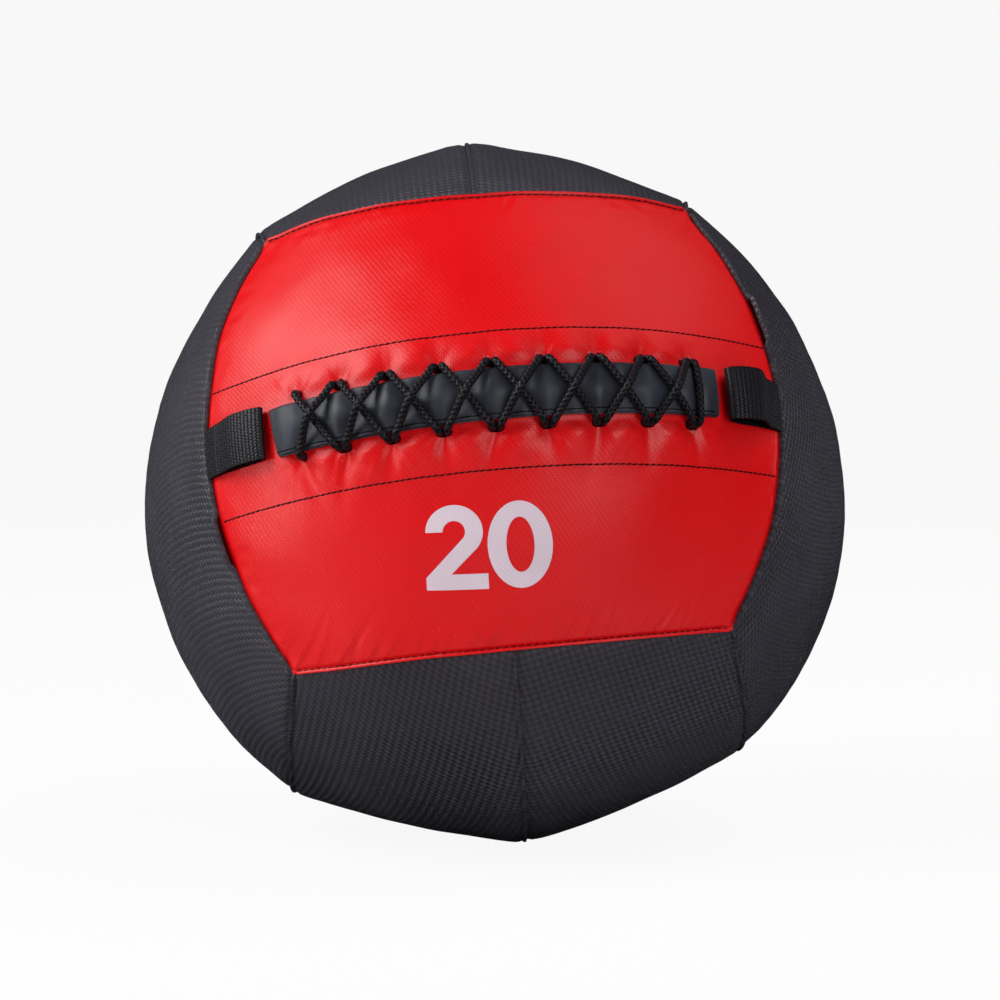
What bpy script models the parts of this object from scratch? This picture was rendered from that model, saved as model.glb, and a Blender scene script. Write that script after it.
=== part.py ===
# Wall ball: a stuffed conditioning ball of twelve sewn panels, laced shut at the front.
# Lengths are metres, +Z is up, and the floor is z = 0 straight under the ball's centre.
# The ball is modelled upright, with its laced front facing -Y, and an empty leans it back.

from math import atan2, cos, exp, pi, radians, sin, tau

import bmesh
import bpy
import numpy as np
from mathutils import Euler, Matrix, Vector

MM = 0.001

# Whole ball
BALL_RADIUS = 178 * MM
COVER_WALL = 5.0 * MM
SEAM_GAP = 0.45 * MM
FIT_GAP = 0.3 * MM
FLOOR_FLAT_DEPTH = 2.9 * MM
MERGE = 0.05 * MM

# How the ball lies: its front is pitched up and its right side is a little higher
PITCH_DEG = -19.2
ROLL_DEG = -4.7
YAW_DEG = 1.4

# Seams: each of the six sides is split in two panels. A panel's outer seam bows to this angle
# from its split seam, and its split seam reaches the rest of the right angle to each side.
OUTER_SEAM_DEG = 39.0
PANEL_CELL_COLUMNS = 12
PANEL_CELL_ROWS = 6
LINER_CELL_COLUMNS = 6
LINER_CELL_ROWS = 3

# Stuffed form: how far seams stand out and panels lie in, as shares of the ball's radius
CORNER_RISE_SHARE = 0.017
OUTER_SEAM_RISE_SHARE = 0.004
SPLIT_SEAM_RISE_SHARE = 0.008
PANEL_DIP_SHARE = 0.021
LOW_SWELL_SHARE = 0.016

# Uneven packing: each row is a direction, how far the skin has crept there and how far it
# stands out, in shares of the ball's radius, and the angle that it reaches
UNEVEN_SHARES = (
    ((-0.58, -0.58, 0.58), (0.0, 0.03, 0.035), 0.006, 20),
    ((0.58, -0.58, 0.58), (0.0, 0.025, 0.02), 0.002, 20),
    ((-0.58, -0.58, -0.58), (0.0, 0.01, -0.015), 0.004, 18),
    ((-0.70, 0.10, -0.70), (0.0, 0.0, 0.0), 0.014, 17),
    ((0.30, 0.15, -0.94), (0.0, 0.0, 0.0), -0.013, 16),
    ((0.61, -0.31, 0.73), (0.0, 0.0, 0.0), -0.008, 12),
    ((-0.30, -0.34, 0.89), (0.0, 0.0, 0.0), 0.009, 15),
    ((0.0, 0.33, -0.94), (0.0, 0.0, 0.0), -0.007, 12),
)

# Lace and its holes
LACE_RADIUS = 2.0 * MM
LACE_SELF_GAP = 0.9 * MM
LACE_BEND = 3.2 * MM
HOLE_COLUMNS = 9
HOLE_ROW_UP = 15.6 * MM
HOLE_CLEARANCE = 0.6 * MM
HOLE_SIDES = 10
LACE_OUTER_BEND_STEPS = 3
LACE_INNER_BEND_STEPS = 2
UNDER_STRAND_STEPS = 4
OVER_STRAND_STEPS = 6
KNOT_RADIUS = 4.4 * MM

# Closure: flap under the lace, facings behind the holes
FLAP_LOOP_GAP = 3.0 * MM
FLAP_END_OVERHANG = 14.0 * MM
FLAP_HALF_WIDE = 11.9 * MM
FLAP_THICKNESS = 2.0 * MM
FLAP_GAP = 0.4 * MM
FLAP_CELL_COLUMNS = 18
CLOSURE_CELL_ROWS = 2
FACING_WALL = 1.5 * MM
FACING_GAP = 0.5 * MM
FACING_SETBACK = 1.5 * MM
FACING_CELL_COLUMNS = 8
FACING_CELL_ROWS = 2

# Inside
LINER_WALL = 1.5 * MM
LINER_GAP = 0.6 * MM
STUFFING_GAP = 0.4 * MM
LACE_POCKET_MARGIN = 3.2 * MM
BALLAST_RADIUS = 62 * MM
BALLAST_WALL = 2.0 * MM
BALLAST_SEGMENTS = 20
BALLAST_RINGS = 10

# Webbing loops sewn into the side seams
WEBBING_WIDTH = 25.4 * MM
WEBBING_THICKNESS = 1.7 * MM
LOOP_STITCHED_LENGTH = 8 * MM
LOOP_SETBACK = 2.4 * MM
LEFT_LOOP_LENGTH = 41 * MM
LEFT_LOOP_OPENING = 3.4 * MM
RIGHT_LOOP_LENGTH = 40 * MM
RIGHT_LOOP_OPENING = 8.4 * MM
LOOP_FOLD_SHARE = 0.34
LOOP_ARC_STEPS = 8

HALF_LONG = radians(90 - OUTER_SEAM_DEG)
HALF_WIDE = radians(OUTER_SEAM_DEG)
SEAM_HALF_LONG = BALL_RADIUS * HALF_LONG - LOOP_SETBACK
FLAP_HALF_LONG = SEAM_HALF_LONG - LEFT_LOOP_LENGTH - FLAP_LOOP_GAP
HOLE_PITCH = (FLAP_HALF_LONG - FLAP_END_OVERHANG) * 2 / (HOLE_COLUMNS - 1)
POSE = Euler((radians(PITCH_DEG), radians(ROLL_DEG), radians(YAW_DEG))).to_matrix()

# Directions of the front side's corners and of its outer seams' middles
LEFT_TOP = Vector((-1, -1, 1)).normalized()
RIGHT_TOP = Vector((1, -1, 1)).normalized()
LEFT_BOTTOM = Vector((-1, -1, -1)).normalized()
RIGHT_BOTTOM = Vector((1, -1, -1)).normalized()
TOP_MIDDLE = Vector((0, -cos(HALF_WIDE), sin(HALF_WIDE)))
LEFT_MIDDLE = Vector((-cos(HALF_WIDE), -sin(HALF_WIDE), 0))
RIGHT_MIDDLE = Vector((cos(HALF_WIDE), -sin(HALF_WIDE), 0))

X_AXIS = Vector((1, 0, 0))
Y_AXIS = Vector((0, 1, 0))
Z_AXIS = Vector((0, 0, 1))

# Each panel's outward side and the way from its split seam to its outer seam
PANELS = {
    "cover_front_upper": (-Y_AXIS, Z_AXIS),
    "cover_front_lower": (-Y_AXIS, -Z_AXIS),
    "cover_back_upper": (Y_AXIS, Z_AXIS),
    "cover_back_lower": (Y_AXIS, -Z_AXIS),
    "cover_top_left": (Z_AXIS, -X_AXIS),
    "cover_top_right": (Z_AXIS, X_AXIS),
    "cover_bottom_left": (-Z_AXIS, -X_AXIS),
    "cover_bottom_right": (-Z_AXIS, X_AXIS),
    "cover_left_front": (-X_AXIS, -Y_AXIS),
    "cover_left_back": (-X_AXIS, Y_AXIS),
    "cover_right_front": (X_AXIS, -Y_AXIS),
    "cover_right_back": (X_AXIS, Y_AXIS),
}

# Colour, roughness and metallic value of each finish
BLACK_VINYL = ((0.030, 0.030, 0.034), 0.48, 0.0)
RED_VINYL = ((0.62, 0.010, 0.010), 0.36, 0.0)
FLAP_LEATHERETTE = ((0.020, 0.021, 0.027), 0.40, 0.0)
BLACK_CORD = ((0.014, 0.014, 0.015), 0.80, 0.0)
BLACK_WEBBING = ((0.026, 0.026, 0.030), 0.72, 0.0)
FACING_CANVAS = ((0.10, 0.10, 0.10), 0.85, 0.0)
LINER_COTTON = ((0.55, 0.52, 0.45), 0.90, 0.0)
TEXTILE_FILL = ((0.32, 0.31, 0.30), 0.95, 0.0)
BALLAST_CANVAS = ((0.25, 0.24, 0.20), 0.90, 0.0)
BALLAST_SHOT = ((0.16, 0.15, 0.14), 0.60, 0.3)


# Scene, collections and finishes

def clear_scene():
    """Remove what the file already shows."""
    for item in list(bpy.data.objects):
        bpy.data.objects.remove(item)


def new_collection(name):
    """A collection under the scene's own."""
    collection = bpy.data.collections.new(name)
    bpy.context.scene.collection.children.link(collection)
    return collection


def give_finish(item, finish):
    """Give an object a Principled material of its own."""
    colour, roughness, metallic = finish
    material = bpy.data.materials.new(item.name + "_finish")
    material.use_nodes = True
    shader = material.node_tree.nodes["Principled BSDF"]
    shader.inputs["Base Color"].default_value = (*colour, 1)
    shader.inputs["Roughness"].default_value = roughness
    shader.inputs["Metallic"].default_value = metallic
    item.data.materials.append(material)


def add_mesh(name, bm, collection, parent=None):
    """Turn a bmesh into a named object with its faces pointing out."""
    bmesh.ops.recalc_face_normals(bm, faces=bm.faces[:])
    mesh = bpy.data.meshes.new(name)
    bm.to_mesh(mesh)
    bm.free()
    item = bpy.data.objects.new(name, mesh)
    collection.objects.link(item)
    item.parent = parent
    return item


def hide_cutter(item):
    """Show a cutter as wire only."""
    item.display_type = "WIRE"
    item.hide_render = True


def cut(item, cutter):
    """Cut one object out of another."""
    modifier = item.modifiers.new("cut_" + cutter.name, "BOOLEAN")
    modifier.object = cutter
    modifier.operation = "DIFFERENCE"
    modifier.solver = "EXACT"


# The stuffed surface

def panel_turn(outward, across):
    """The turn that carries the front's upper panel to the panel that faces outward."""
    along = across.cross(outward)
    return Matrix((along, -outward, across)).transposed()


def seam_arc(start, middle, end, share):
    """A point, at a share of the way, on the sphere's circle from start through middle to end."""
    pole = (middle - start).cross(end - start).normalized()
    centre = pole * pole.dot(start)
    first = start - centre
    side = pole.cross(first)
    last = end - centre
    angle = share * (atan2(last.dot(side), last.dot(first)) % tau)
    return centre + first * cos(angle) + side * sin(angle)


def panel_direction(u, v):
    """Direction of a point of the front's upper panel: u is -1 to 1 along it, v 0 to 1 across it."""
    along = (u + 1) / 2
    split = Vector((sin(HALF_LONG * u), -cos(HALF_LONG * u), 0))
    outer = seam_arc(LEFT_TOP, TOP_MIDDLE, RIGHT_TOP, along)
    left = seam_arc(LEFT_BOTTOM, LEFT_MIDDLE, LEFT_TOP, (1 + v) / 2)
    right = seam_arc(RIGHT_BOTTOM, RIGHT_MIDDLE, RIGHT_TOP, (1 + v) / 2)
    low_corners = LEFT_MIDDLE.lerp(RIGHT_MIDDLE, along)
    high_corners = LEFT_TOP.lerp(RIGHT_TOP, along)
    blended = split.lerp(outer, v) + left.lerp(right, along) - low_corners.lerp(high_corners, v)
    return blended.normalized()


def outer_seam_rise(share):
    """How far an outer seam stands out, from its middle at 0 to a corner at 1."""
    return OUTER_SEAM_RISE_SHARE + (CORNER_RISE_SHARE - OUTER_SEAM_RISE_SHARE) * abs(share) ** 2.5


def panel_rise(u, v):
    """How far a panel's point stands out: high at its seams, flattened between them."""
    split = SPLIT_SEAM_RISE_SHARE + (OUTER_SEAM_RISE_SHARE - SPLIT_SEAM_RISE_SHARE) * u ** 2
    along = (1 - v) * split + v * outer_seam_rise(u)
    ends = outer_seam_rise(v) - ((1 - v) * OUTER_SEAM_RISE_SHARE + v * CORNER_RISE_SHARE)
    dip = PANEL_DIP_SHARE * 4 * v * (1 - v) * (1 - u ** 4)
    return along + ends - dip


def settled(way):
    """A direction after the uneven packing has shifted it, and how far the skin stands out there."""
    low = max(0.0, -(POSE @ way).z)
    rise = LOW_SWELL_SHARE * 4 * low ** 2 * (1 - low ** 2)
    moved = way.copy()
    for place, creep, lift, reach in UNEVEN_SHARES:
        nearness = exp(-(way.angle(Vector(place)) / radians(reach)) ** 2)
        moved += Vector(creep) * nearness
        rise += lift * nearness
    return moved.normalized(), rise


def panel_point(turn, u, v, lift=0.0):
    """A panel's point in the upright ball, lifted off its surface. Low sides swell with the weight."""
    way, rise = settled(turn @ panel_direction(u, v))
    return way * (BALL_RADIUS * (1 + panel_rise(u, v) + rise) + lift)


FRONT_UPPER = panel_turn(*PANELS["cover_front_upper"])
FRONT_LOWER = panel_turn(*PANELS["cover_front_lower"])


def closure_point(along, up, lift=0.0):
    """A point by its length along the front's split seam, its height over it and its lift."""
    u = along / (BALL_RADIUS * HALF_LONG)
    v = abs(up) / (BALL_RADIUS * HALF_WIDE)
    if up >= 0:
        return panel_point(FRONT_UPPER, u, v, lift)
    return panel_point(FRONT_LOWER, -u, v, lift)


def closure_frame(along, up):
    """The matrix of a place on the closure: X along it, Y up it and Z out of the ball."""
    place = closure_point(along, up)
    out = place.normalized()
    ahead = (closure_point(along + LACE_RADIUS, up) - place).normalized()
    rise = out.cross(ahead).normalized()
    matrix = Matrix((rise.cross(out), rise, out)).transposed().to_4x4()
    matrix.translation = place
    return matrix


def mapped_grid(bm, columns, rows, place):
    """Add a grid to a bmesh and move each vertex to place(share along, share across)."""
    grid = bmesh.ops.create_grid(bm, x_segments=columns, y_segments=rows, size=1)
    for vert in grid["verts"]:
        vert.co = place((vert.co.x + 1) / 2, (vert.co.y + 1) / 2)


def thicken_inward(bm, wall):
    """Extrude an open skin towards the ball's centre into a closed shell."""
    shell = bmesh.ops.extrude_face_region(bm, geom=bm.faces[:], use_keep_orig=True)
    for part in shell["geom"]:
        if isinstance(part, bmesh.types.BMVert):
            part.co -= part.co.normalized() * wall


def between(low, high, share):
    """The value at a share of the way from low to high."""
    return low + (high - low) * share


def closure_block(name, half_long, half_wide, top, wall, columns, collection, parent):
    """A block on the closure, from its top lift down through its wall."""
    bm = bmesh.new()
    mapped_grid(bm, columns, CLOSURE_CELL_ROWS, lambda s, t: closure_point(
        between(-half_long, half_long, s), between(-half_wide, half_wide, t), top))
    thicken_inward(bm, wall)
    return add_mesh(name, bm, collection, parent)


# Cover, facings, liner

def cover_panel(name, collection, parent):
    """One sewn panel, inset by half a seam gap on each side."""
    turn = panel_turn(*PANELS[name])
    end = 1 - SEAM_GAP / 2 / (BALL_RADIUS * HALF_LONG)
    edge = SEAM_GAP / 2 / (BALL_RADIUS * HALF_WIDE)
    bm = bmesh.new()
    mapped_grid(bm, PANEL_CELL_COLUMNS, PANEL_CELL_ROWS, lambda s, t: panel_point(
        turn, between(-end, end, s), between(edge, 1 - edge, t)))
    thicken_inward(bm, COVER_WALL)
    item = add_mesh(name, bm, collection, parent)
    item.data.shade_smooth()
    give_finish(item, RED_VINYL if name.startswith("cover_front_") else BLACK_VINYL)
    return item


def eyelet_facing(name, turn, collection, parent):
    """The doubled hem behind one row of lace holes."""
    half_long = FACING_CELL_COLUMNS / PANEL_CELL_COLUMNS - FACING_SETBACK / (BALL_RADIUS * HALF_LONG)
    low = SEAM_GAP / 2 / (BALL_RADIUS * HALF_WIDE)
    high = FACING_CELL_ROWS / PANEL_CELL_ROWS - FACING_SETBACK / (BALL_RADIUS * HALF_WIDE)
    bm = bmesh.new()
    mapped_grid(bm, FACING_CELL_COLUMNS, FACING_CELL_ROWS, lambda s, t: panel_point(
        turn, between(-half_long, half_long, s), between(low, high, t), -COVER_WALL - FACING_GAP))
    thicken_inward(bm, FACING_WALL)
    item = add_mesh(name, bm, collection, parent)
    give_finish(item, FACING_CANVAS)
    return item


def lining_skin(lift):
    """A closed skin of all twelve panels at one lift, with few cells."""
    bm = bmesh.new()
    for outward, across in PANELS.values():
        turn = panel_turn(outward, across)
        mapped_grid(bm, LINER_CELL_COLUMNS, LINER_CELL_ROWS, lambda s, t, turn=turn: panel_point(
            turn, between(-1, 1, s), t, lift))
    bmesh.ops.remove_doubles(bm, verts=bm.verts[:], dist=MERGE)
    return bm


def liner_bag(collection, parent):
    """The inner bag, open where the facings lie."""
    bm = lining_skin(-COVER_WALL - LINER_GAP)
    mouth_long = FACING_CELL_COLUMNS / PANEL_CELL_COLUMNS * HALF_LONG * BALL_RADIUS
    mouth_wide = FACING_CELL_ROWS / PANEL_CELL_ROWS * HALF_WIDE * BALL_RADIUS
    mouth = []
    for face in bm.faces:
        centre = face.calc_center_median()
        in_front = centre.y < -BALL_RADIUS / 2
        if in_front and abs(centre.x) < mouth_long and abs(centre.z) < mouth_wide:
            mouth.append(face)
    bmesh.ops.delete(bm, geom=mouth, context="FACES")
    thicken_inward(bm, LINER_WALL)
    item = add_mesh("liner_bag", bm, collection, parent)
    item.data.shade_smooth()
    give_finish(item, LINER_COTTON)


# Stuffing and ballast

def stuffing_half(name, side, cutters, collection, parent):
    """Half of the packed textile fill, above or below the closure's plane."""
    bm = lining_skin(-COVER_WALL - LINER_GAP - LINER_WALL - STUFFING_GAP)
    cutting = bmesh.ops.bisect_plane(
        bm, geom=bm.verts[:] + bm.edges[:] + bm.faces[:], dist=MERGE,
        plane_co=side * Z_AXIS * STUFFING_GAP / 2, plane_no=side * Z_AXIS, clear_inner=True)
    rim = [part for part in cutting["geom_cut"] if isinstance(part, bmesh.types.BMEdge)]
    bmesh.ops.contextual_create(bm, geom=rim)
    item = add_mesh(name, bm, collection, parent)
    give_finish(item, TEXTILE_FILL)
    for cutter in cutters:
        cut(item, cutter)


def ballast_sphere(radius):
    """A sphere of the ballast's own rings about the ball's centre."""
    bm = bmesh.new()
    bmesh.ops.create_uvsphere(bm, u_segments=BALLAST_SEGMENTS, v_segments=BALLAST_RINGS, radius=radius)
    return bm


def ballast_bag(collection, parent):
    """The canvas bag of the heavy core, with its filling mouth at the top."""
    bm = ballast_sphere(BALLAST_RADIUS)
    top = [vert for vert in bm.verts if vert.co.z > BALLAST_RADIUS * cos(pi / BALLAST_RINGS / 2)]
    bmesh.ops.delete(bm, geom=top, context="VERTS")
    thicken_inward(bm, BALLAST_WALL)
    item = add_mesh("ballast_bag", bm, collection, parent)
    item.data.shade_smooth()
    give_finish(item, BALLAST_CANVAS)


def ballast_fill(collection, parent):
    """The shot in the bag."""
    bm = ballast_sphere(BALLAST_RADIUS - BALLAST_WALL - STUFFING_GAP)
    item = add_mesh("ballast_fill", bm, collection, parent)
    item.data.shade_smooth()
    give_finish(item, BALLAST_SHOT)


# Lace, its holes and its knots

def column_along(column):
    """Where a column of holes lies along the closure, the first at the left."""
    return (column - (HOLE_COLUMNS + 1) / 2) * HOLE_PITCH


PASS_OFFSET = LACE_RADIUS + LACE_SELF_GAP / 2
FACING_DEPTH = COVER_WALL + FACING_GAP + FACING_WALL
STRAND_LIFT = FLAP_GAP + FLAP_THICKNESS + FIT_GAP + LACE_RADIUS
CROSSING_RISE = 2 * LACE_RADIUS + LACE_SELF_GAP
FIRST_BAR_LIFT = -(FACING_DEPTH + FACING_GAP + FIT_GAP + LACE_RADIUS)
SECOND_BAR_LIFT = FIRST_BAR_LIFT - CROSSING_RISE
KNOT_LIFT = -(FACING_DEPTH + FACING_GAP + KNOT_RADIUS)


def hole_cutter(name, row_up, collection, parent):
    """The oblong holes of one row, as one cutter through panel and facing."""
    bm = bmesh.new()
    radius = LACE_RADIUS + HOLE_CLEARANCE
    for column in range(1, HOLE_COLUMNS + 1):
        round_hole = bmesh.ops.create_cone(
            bm, cap_ends=True, segments=HOLE_SIDES, radius1=radius, radius2=radius, depth=4 * FACING_DEPTH)
        for vert in round_hole["verts"]:
            vert.co.x += PASS_OFFSET if vert.co.x > 0 else -PASS_OFFSET
        bmesh.ops.transform(
            bm, matrix=closure_frame(column_along(column), row_up), verts=round_hole["verts"])
    item = add_mesh(name, bm, collection, parent)
    hide_cutter(item)
    return item


def lace_corners():
    """The lace's corners along, up and lifted: out to the right under, a bar, and back over."""
    corners = []
    top = HOLE_ROW_UP
    first = column_along(1) + PASS_OFFSET
    corners.append((first, top, -FACING_DEPTH - FACING_GAP + FIT_GAP))
    for column in range(1, HOLE_COLUMNS):
        here = column_along(column) + PASS_OFFSET
        there = column_along(column + 1)
        corners.append((here, top, STRAND_LIFT))
        corners.append((there - PASS_OFFSET, -top, STRAND_LIFT))
        corners.append((there - PASS_OFFSET, -top, FIRST_BAR_LIFT))
        corners.append((there + PASS_OFFSET, top, FIRST_BAR_LIFT))
    last = column_along(HOLE_COLUMNS) + PASS_OFFSET
    corners.append((last, top, STRAND_LIFT))
    corners.append((last, -top, STRAND_LIFT))
    for column in range(HOLE_COLUMNS, 1, -1):
        here = column_along(column)
        there = column_along(column - 1)
        corners.append((here + PASS_OFFSET, -top, SECOND_BAR_LIFT))
        corners.append((here - PASS_OFFSET, top, SECOND_BAR_LIFT))
        corners.append((here - PASS_OFFSET, top, STRAND_LIFT))
        corners.append((there + PASS_OFFSET, -top, STRAND_LIFT))
    corners.append((first, -top, -FACING_DEPTH - FACING_GAP + FIT_GAP))
    return [Vector(corner) for corner in corners]


def rounded_corner(before, corner, after):
    """Points of the bend at a corner, more of them outside where the bend shows."""
    back = (before - corner).normalized()
    ahead = (after - corner).normalized()
    steps = LACE_OUTER_BEND_STEPS if corner.z > 0 else LACE_INNER_BEND_STEPS
    centre = corner + (back + ahead) * LACE_BEND
    points = []
    for step in range(steps + 1):
        angle = pi / 2 * step / steps
        points.append(centre - ahead * LACE_BEND * cos(angle) - back * LACE_BEND * sin(angle))
    return points


def strand_points(start, end, steps, rise):
    """Points between two bends of a strand that lies outside, humped where it crosses over."""
    points = []
    for step in range(1, steps):
        share = step / steps
        point = start.lerp(end, share)
        point.z += rise * sin(pi * share) ** 2
        points.append(point)
    return points


def lace_route():
    """The whole route of the lace in the closure's coordinates."""
    corners = lace_corners()
    bar_start = 4 * (HOLE_COLUMNS - 1) + 1
    route = [corners[0]]
    for index in range(1, len(corners) - 1):
        bend = rounded_corner(corners[index - 1], corners[index], corners[index + 1])
        outside = corners[index].z > 0 and corners[index - 1].z > 0
        if outside:
            goes_over = index > bar_start + 1
            steps = OVER_STRAND_STEPS if goes_over else UNDER_STRAND_STEPS
            route += strand_points(route[-1], bend[0], steps, CROSSING_RISE if goes_over else 0.0)
        route += bend
    route.append(corners[-1])
    return route


def least_gap(points, radius):
    """The least gap between stretches of a tube that lie apart along it."""
    fine = []
    for start, end in zip(points, points[1:]):
        pieces = max(1, round((end - start).length / (radius / 4)))
        fine += [start.lerp(end, piece / pieces) for piece in range(pieces)]
    places = np.array(fine)
    lengths = np.concatenate(([0.0], np.cumsum(np.linalg.norm(np.diff(places, axis=0), axis=1))))
    apart = np.linalg.norm(places[:, None] - places[None], axis=2)
    along = np.abs(lengths[:, None] - lengths[None])
    return float(apart[along > 6 * radius].min() - 2 * radius)


def lace(collection, parent):
    """The lace, one unbroken cord through all eighteen holes."""
    points = [closure_point(*place) for place in lace_route()]
    curve = bpy.data.curves.new("lace", "CURVE")
    curve.dimensions = "3D"
    curve.bevel_depth = LACE_RADIUS
    curve.bevel_resolution = 2
    curve.use_fill_caps = True
    spline = curve.splines.new("POLY")
    spline.points.add(len(points) - 1)
    for point, place in zip(spline.points, points):
        point.co = (*place, 1)
    item = bpy.data.objects.new("lace", curve)
    collection.objects.link(item)
    item.parent = parent
    give_finish(item, BLACK_CORD)
    print("lace least gap to itself, mm:", round(least_gap(points, LACE_RADIUS) / MM, 2))


def lace_knot(name, row_up, collection, parent):
    """A stopper knot on one end of the lace, under its hole."""
    bm = bmesh.new()
    bmesh.ops.create_icosphere(bm, subdivisions=2, radius=KNOT_RADIUS)
    place = closure_point(column_along(1) + PASS_OFFSET, row_up, KNOT_LIFT)
    bmesh.ops.translate(bm, vec=place, verts=bm.verts[:])
    item = add_mesh(name, bm, collection, parent)
    item.data.shade_smooth()
    give_finish(item, BLACK_CORD)


# Webbing loops

def loop_outlines(length, opening):
    """Outer and inner outline of a folded loop, as length from its hinge and height over the ball."""
    thick = WEBBING_THICKNESS
    base = FIT_GAP
    fold = (length - thick) * LOOP_FOLD_SHARE
    reach = length - thick - fold
    steps = range(1, LOOP_ARC_STEPS)
    rise = []
    for step in range(LOOP_ARC_STEPS + 1):
        share = step / LOOP_ARC_STEPS
        rise.append((between(LOOP_STITCHED_LENGTH, reach, share), opening * share ** 2 * (3 - 2 * share)))
    middle = base + thick + opening / 2

    def fold_arc(extra):
        arc = []
        for step in steps:
            angle = pi * step / LOOP_ARC_STEPS - pi / 2
            arc.append((reach + (fold + extra) * cos(angle), middle + (opening / 2 + extra) * sin(angle)))
        return arc

    root = []
    for step in steps:
        angle = pi / 2 + pi * step / LOOP_ARC_STEPS
        root.append((thick * cos(angle), base + thick + thick * sin(angle)))
    floor_steps = [(between(0, reach, step / LOOP_ARC_STEPS), base) for step in range(LOOP_ARC_STEPS + 1)]
    outer = floor_steps + fold_arc(thick)
    outer += [(place, base + 2 * thick + height) for place, height in reversed(rise)]
    outer += [(0, base + 2 * thick)] + root
    inner = [(place, base + thick) for place, height in rise] + fold_arc(0)
    inner += [(place, base + thick + height) for place, height in reversed(rise[1:])]
    return outer, inner


def webbing_loop(name, side, length, opening, collection, parent):
    """A loop of webbing on one side, hinged about the seam that it is sewn into."""
    hinge = closure_point(side * SEAM_HALF_LONG, 0, FIT_GAP + WEBBING_THICKNESS)
    curve = bpy.data.curves.new(name, "CURVE")
    curve.dimensions = "2D"
    curve.fill_mode = "BOTH"
    curve.extrude = WEBBING_WIDTH / 2
    for outline in loop_outlines(length, opening):
        spline = curve.splines.new("POLY")
        spline.points.add(len(outline) - 1)
        spline.use_cyclic_u = True
        for point, (inward, height) in zip(spline.points, outline):
            place = closure_point(side * (SEAM_HALF_LONG - inward), 0, height) - hinge
            point.co = (place.x, place.y, 0, 1)
    flat = bpy.data.objects.new(name + "_outline", curve)
    collection.objects.link(flat)
    item = solid_copy(flat, name, collection, parent)
    item.location = hinge
    give_finish(item, BLACK_WEBBING)


def solid_copy(flat, name, collection, parent):
    """Turn a curve object into a mesh object with its caps welded, and remove the curve."""
    bpy.context.view_layer.update()
    mesh = bpy.data.meshes.new_from_object(flat.evaluated_get(bpy.context.evaluated_depsgraph_get()))
    bpy.data.objects.remove(flat)
    bm = bmesh.new()
    bm.from_mesh(mesh)
    bpy.data.meshes.remove(mesh)
    bmesh.ops.remove_doubles(bm, verts=bm.verts[:], dist=MERGE)
    return add_mesh(name, bm, collection, parent)


# The ball

def floor_cutter(collection):
    """A block with its top on the floor, which flattens the panels that the ball rests on."""
    bm = bmesh.new()
    bmesh.ops.create_cube(bm, size=BALL_RADIUS)
    bmesh.ops.translate(bm, vec=-Z_AXIS * BALL_RADIUS / 2, verts=bm.verts[:])
    item = add_mesh("floor_cutter", bm, collection)
    hide_cutter(item)
    return item


def main():
    """Build the ball and lean it back on the floor."""
    clear_scene()
    parts = new_collection("wall_ball")
    cutters = new_collection("cutters")
    ball = bpy.data.objects.new("ball_pose", None)
    parts.objects.link(ball)

    covers = {name: cover_panel(name, parts, ball) for name in PANELS}
    facings = {
        "eyelet_facing_upper": eyelet_facing("eyelet_facing_upper", FRONT_UPPER, parts, ball),
        "eyelet_facing_lower": eyelet_facing("eyelet_facing_lower", FRONT_LOWER, parts, ball),
    }
    for row, side in (("upper", 1), ("lower", -1)):
        holes = hole_cutter(row + "_holes_cutter", side * HOLE_ROW_UP, cutters, ball)
        cut(covers["cover_front_" + row], holes)
        cut(facings["eyelet_facing_" + row], holes)
        lace_knot("lace_knot_" + row, side * HOLE_ROW_UP, parts, ball)

    flap = closure_block(
        "closure_flap", FLAP_HALF_LONG, FLAP_HALF_WIDE, FLAP_GAP + FLAP_THICKNESS, FLAP_THICKNESS,
        FLAP_CELL_COLUMNS, parts, ball)
    give_finish(flap, FLAP_LEATHERETTE)
    lace(parts, ball)
    webbing_loop("webbing_loop_left", -1, LEFT_LOOP_LENGTH, LEFT_LOOP_OPENING, parts, ball)
    webbing_loop("webbing_loop_right", 1, RIGHT_LOOP_LENGTH, RIGHT_LOOP_OPENING, parts, ball)

    liner_bag(parts, ball)
    pocket = closure_block(
        "lace_pocket_cutter",
        column_along(HOLE_COLUMNS) + PASS_OFFSET + KNOT_RADIUS + LACE_POCKET_MARGIN,
        HOLE_ROW_UP + KNOT_RADIUS + LACE_POCKET_MARGIN,
        0, LACE_RADIUS + LACE_POCKET_MARGIN - SECOND_BAR_LIFT, FACING_CELL_COLUMNS, cutters, ball)
    hide_cutter(pocket)
    core = add_mesh(
        "ballast_cutter", ballast_sphere(BALLAST_RADIUS + STUFFING_GAP), cutters, ball)
    hide_cutter(core)
    stuffing_half("stuffing_upper", 1, (core, pocket), parts, ball)
    stuffing_half("stuffing_lower", -1, (core, pocket), parts, ball)
    ballast_bag(parts, ball)
    ballast_fill(parts, ball)

    lowest = min((POSE @ vert.co).z for cover in covers.values() for vert in cover.data.vertices)
    ball.rotation_euler = POSE.to_euler()
    ball.location = -Z_AXIS * (lowest + FLOOR_FLAT_DEPTH)
    floor = floor_cutter(cutters)
    cut(covers["cover_bottom_left"], floor)
    cut(covers["cover_bottom_right"], floor)


main()
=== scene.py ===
from math import atan2, cos, pi, radians, sin, tau

import bmesh
import bpy
import numpy as np
from bpy.props import FloatProperty, FloatVectorProperty, PointerProperty
from bpy.types import Operator, Panel, PropertyGroup
from mathutils import Euler, Matrix, Vector
from mathutils.bvhtree import BVHTree


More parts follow.
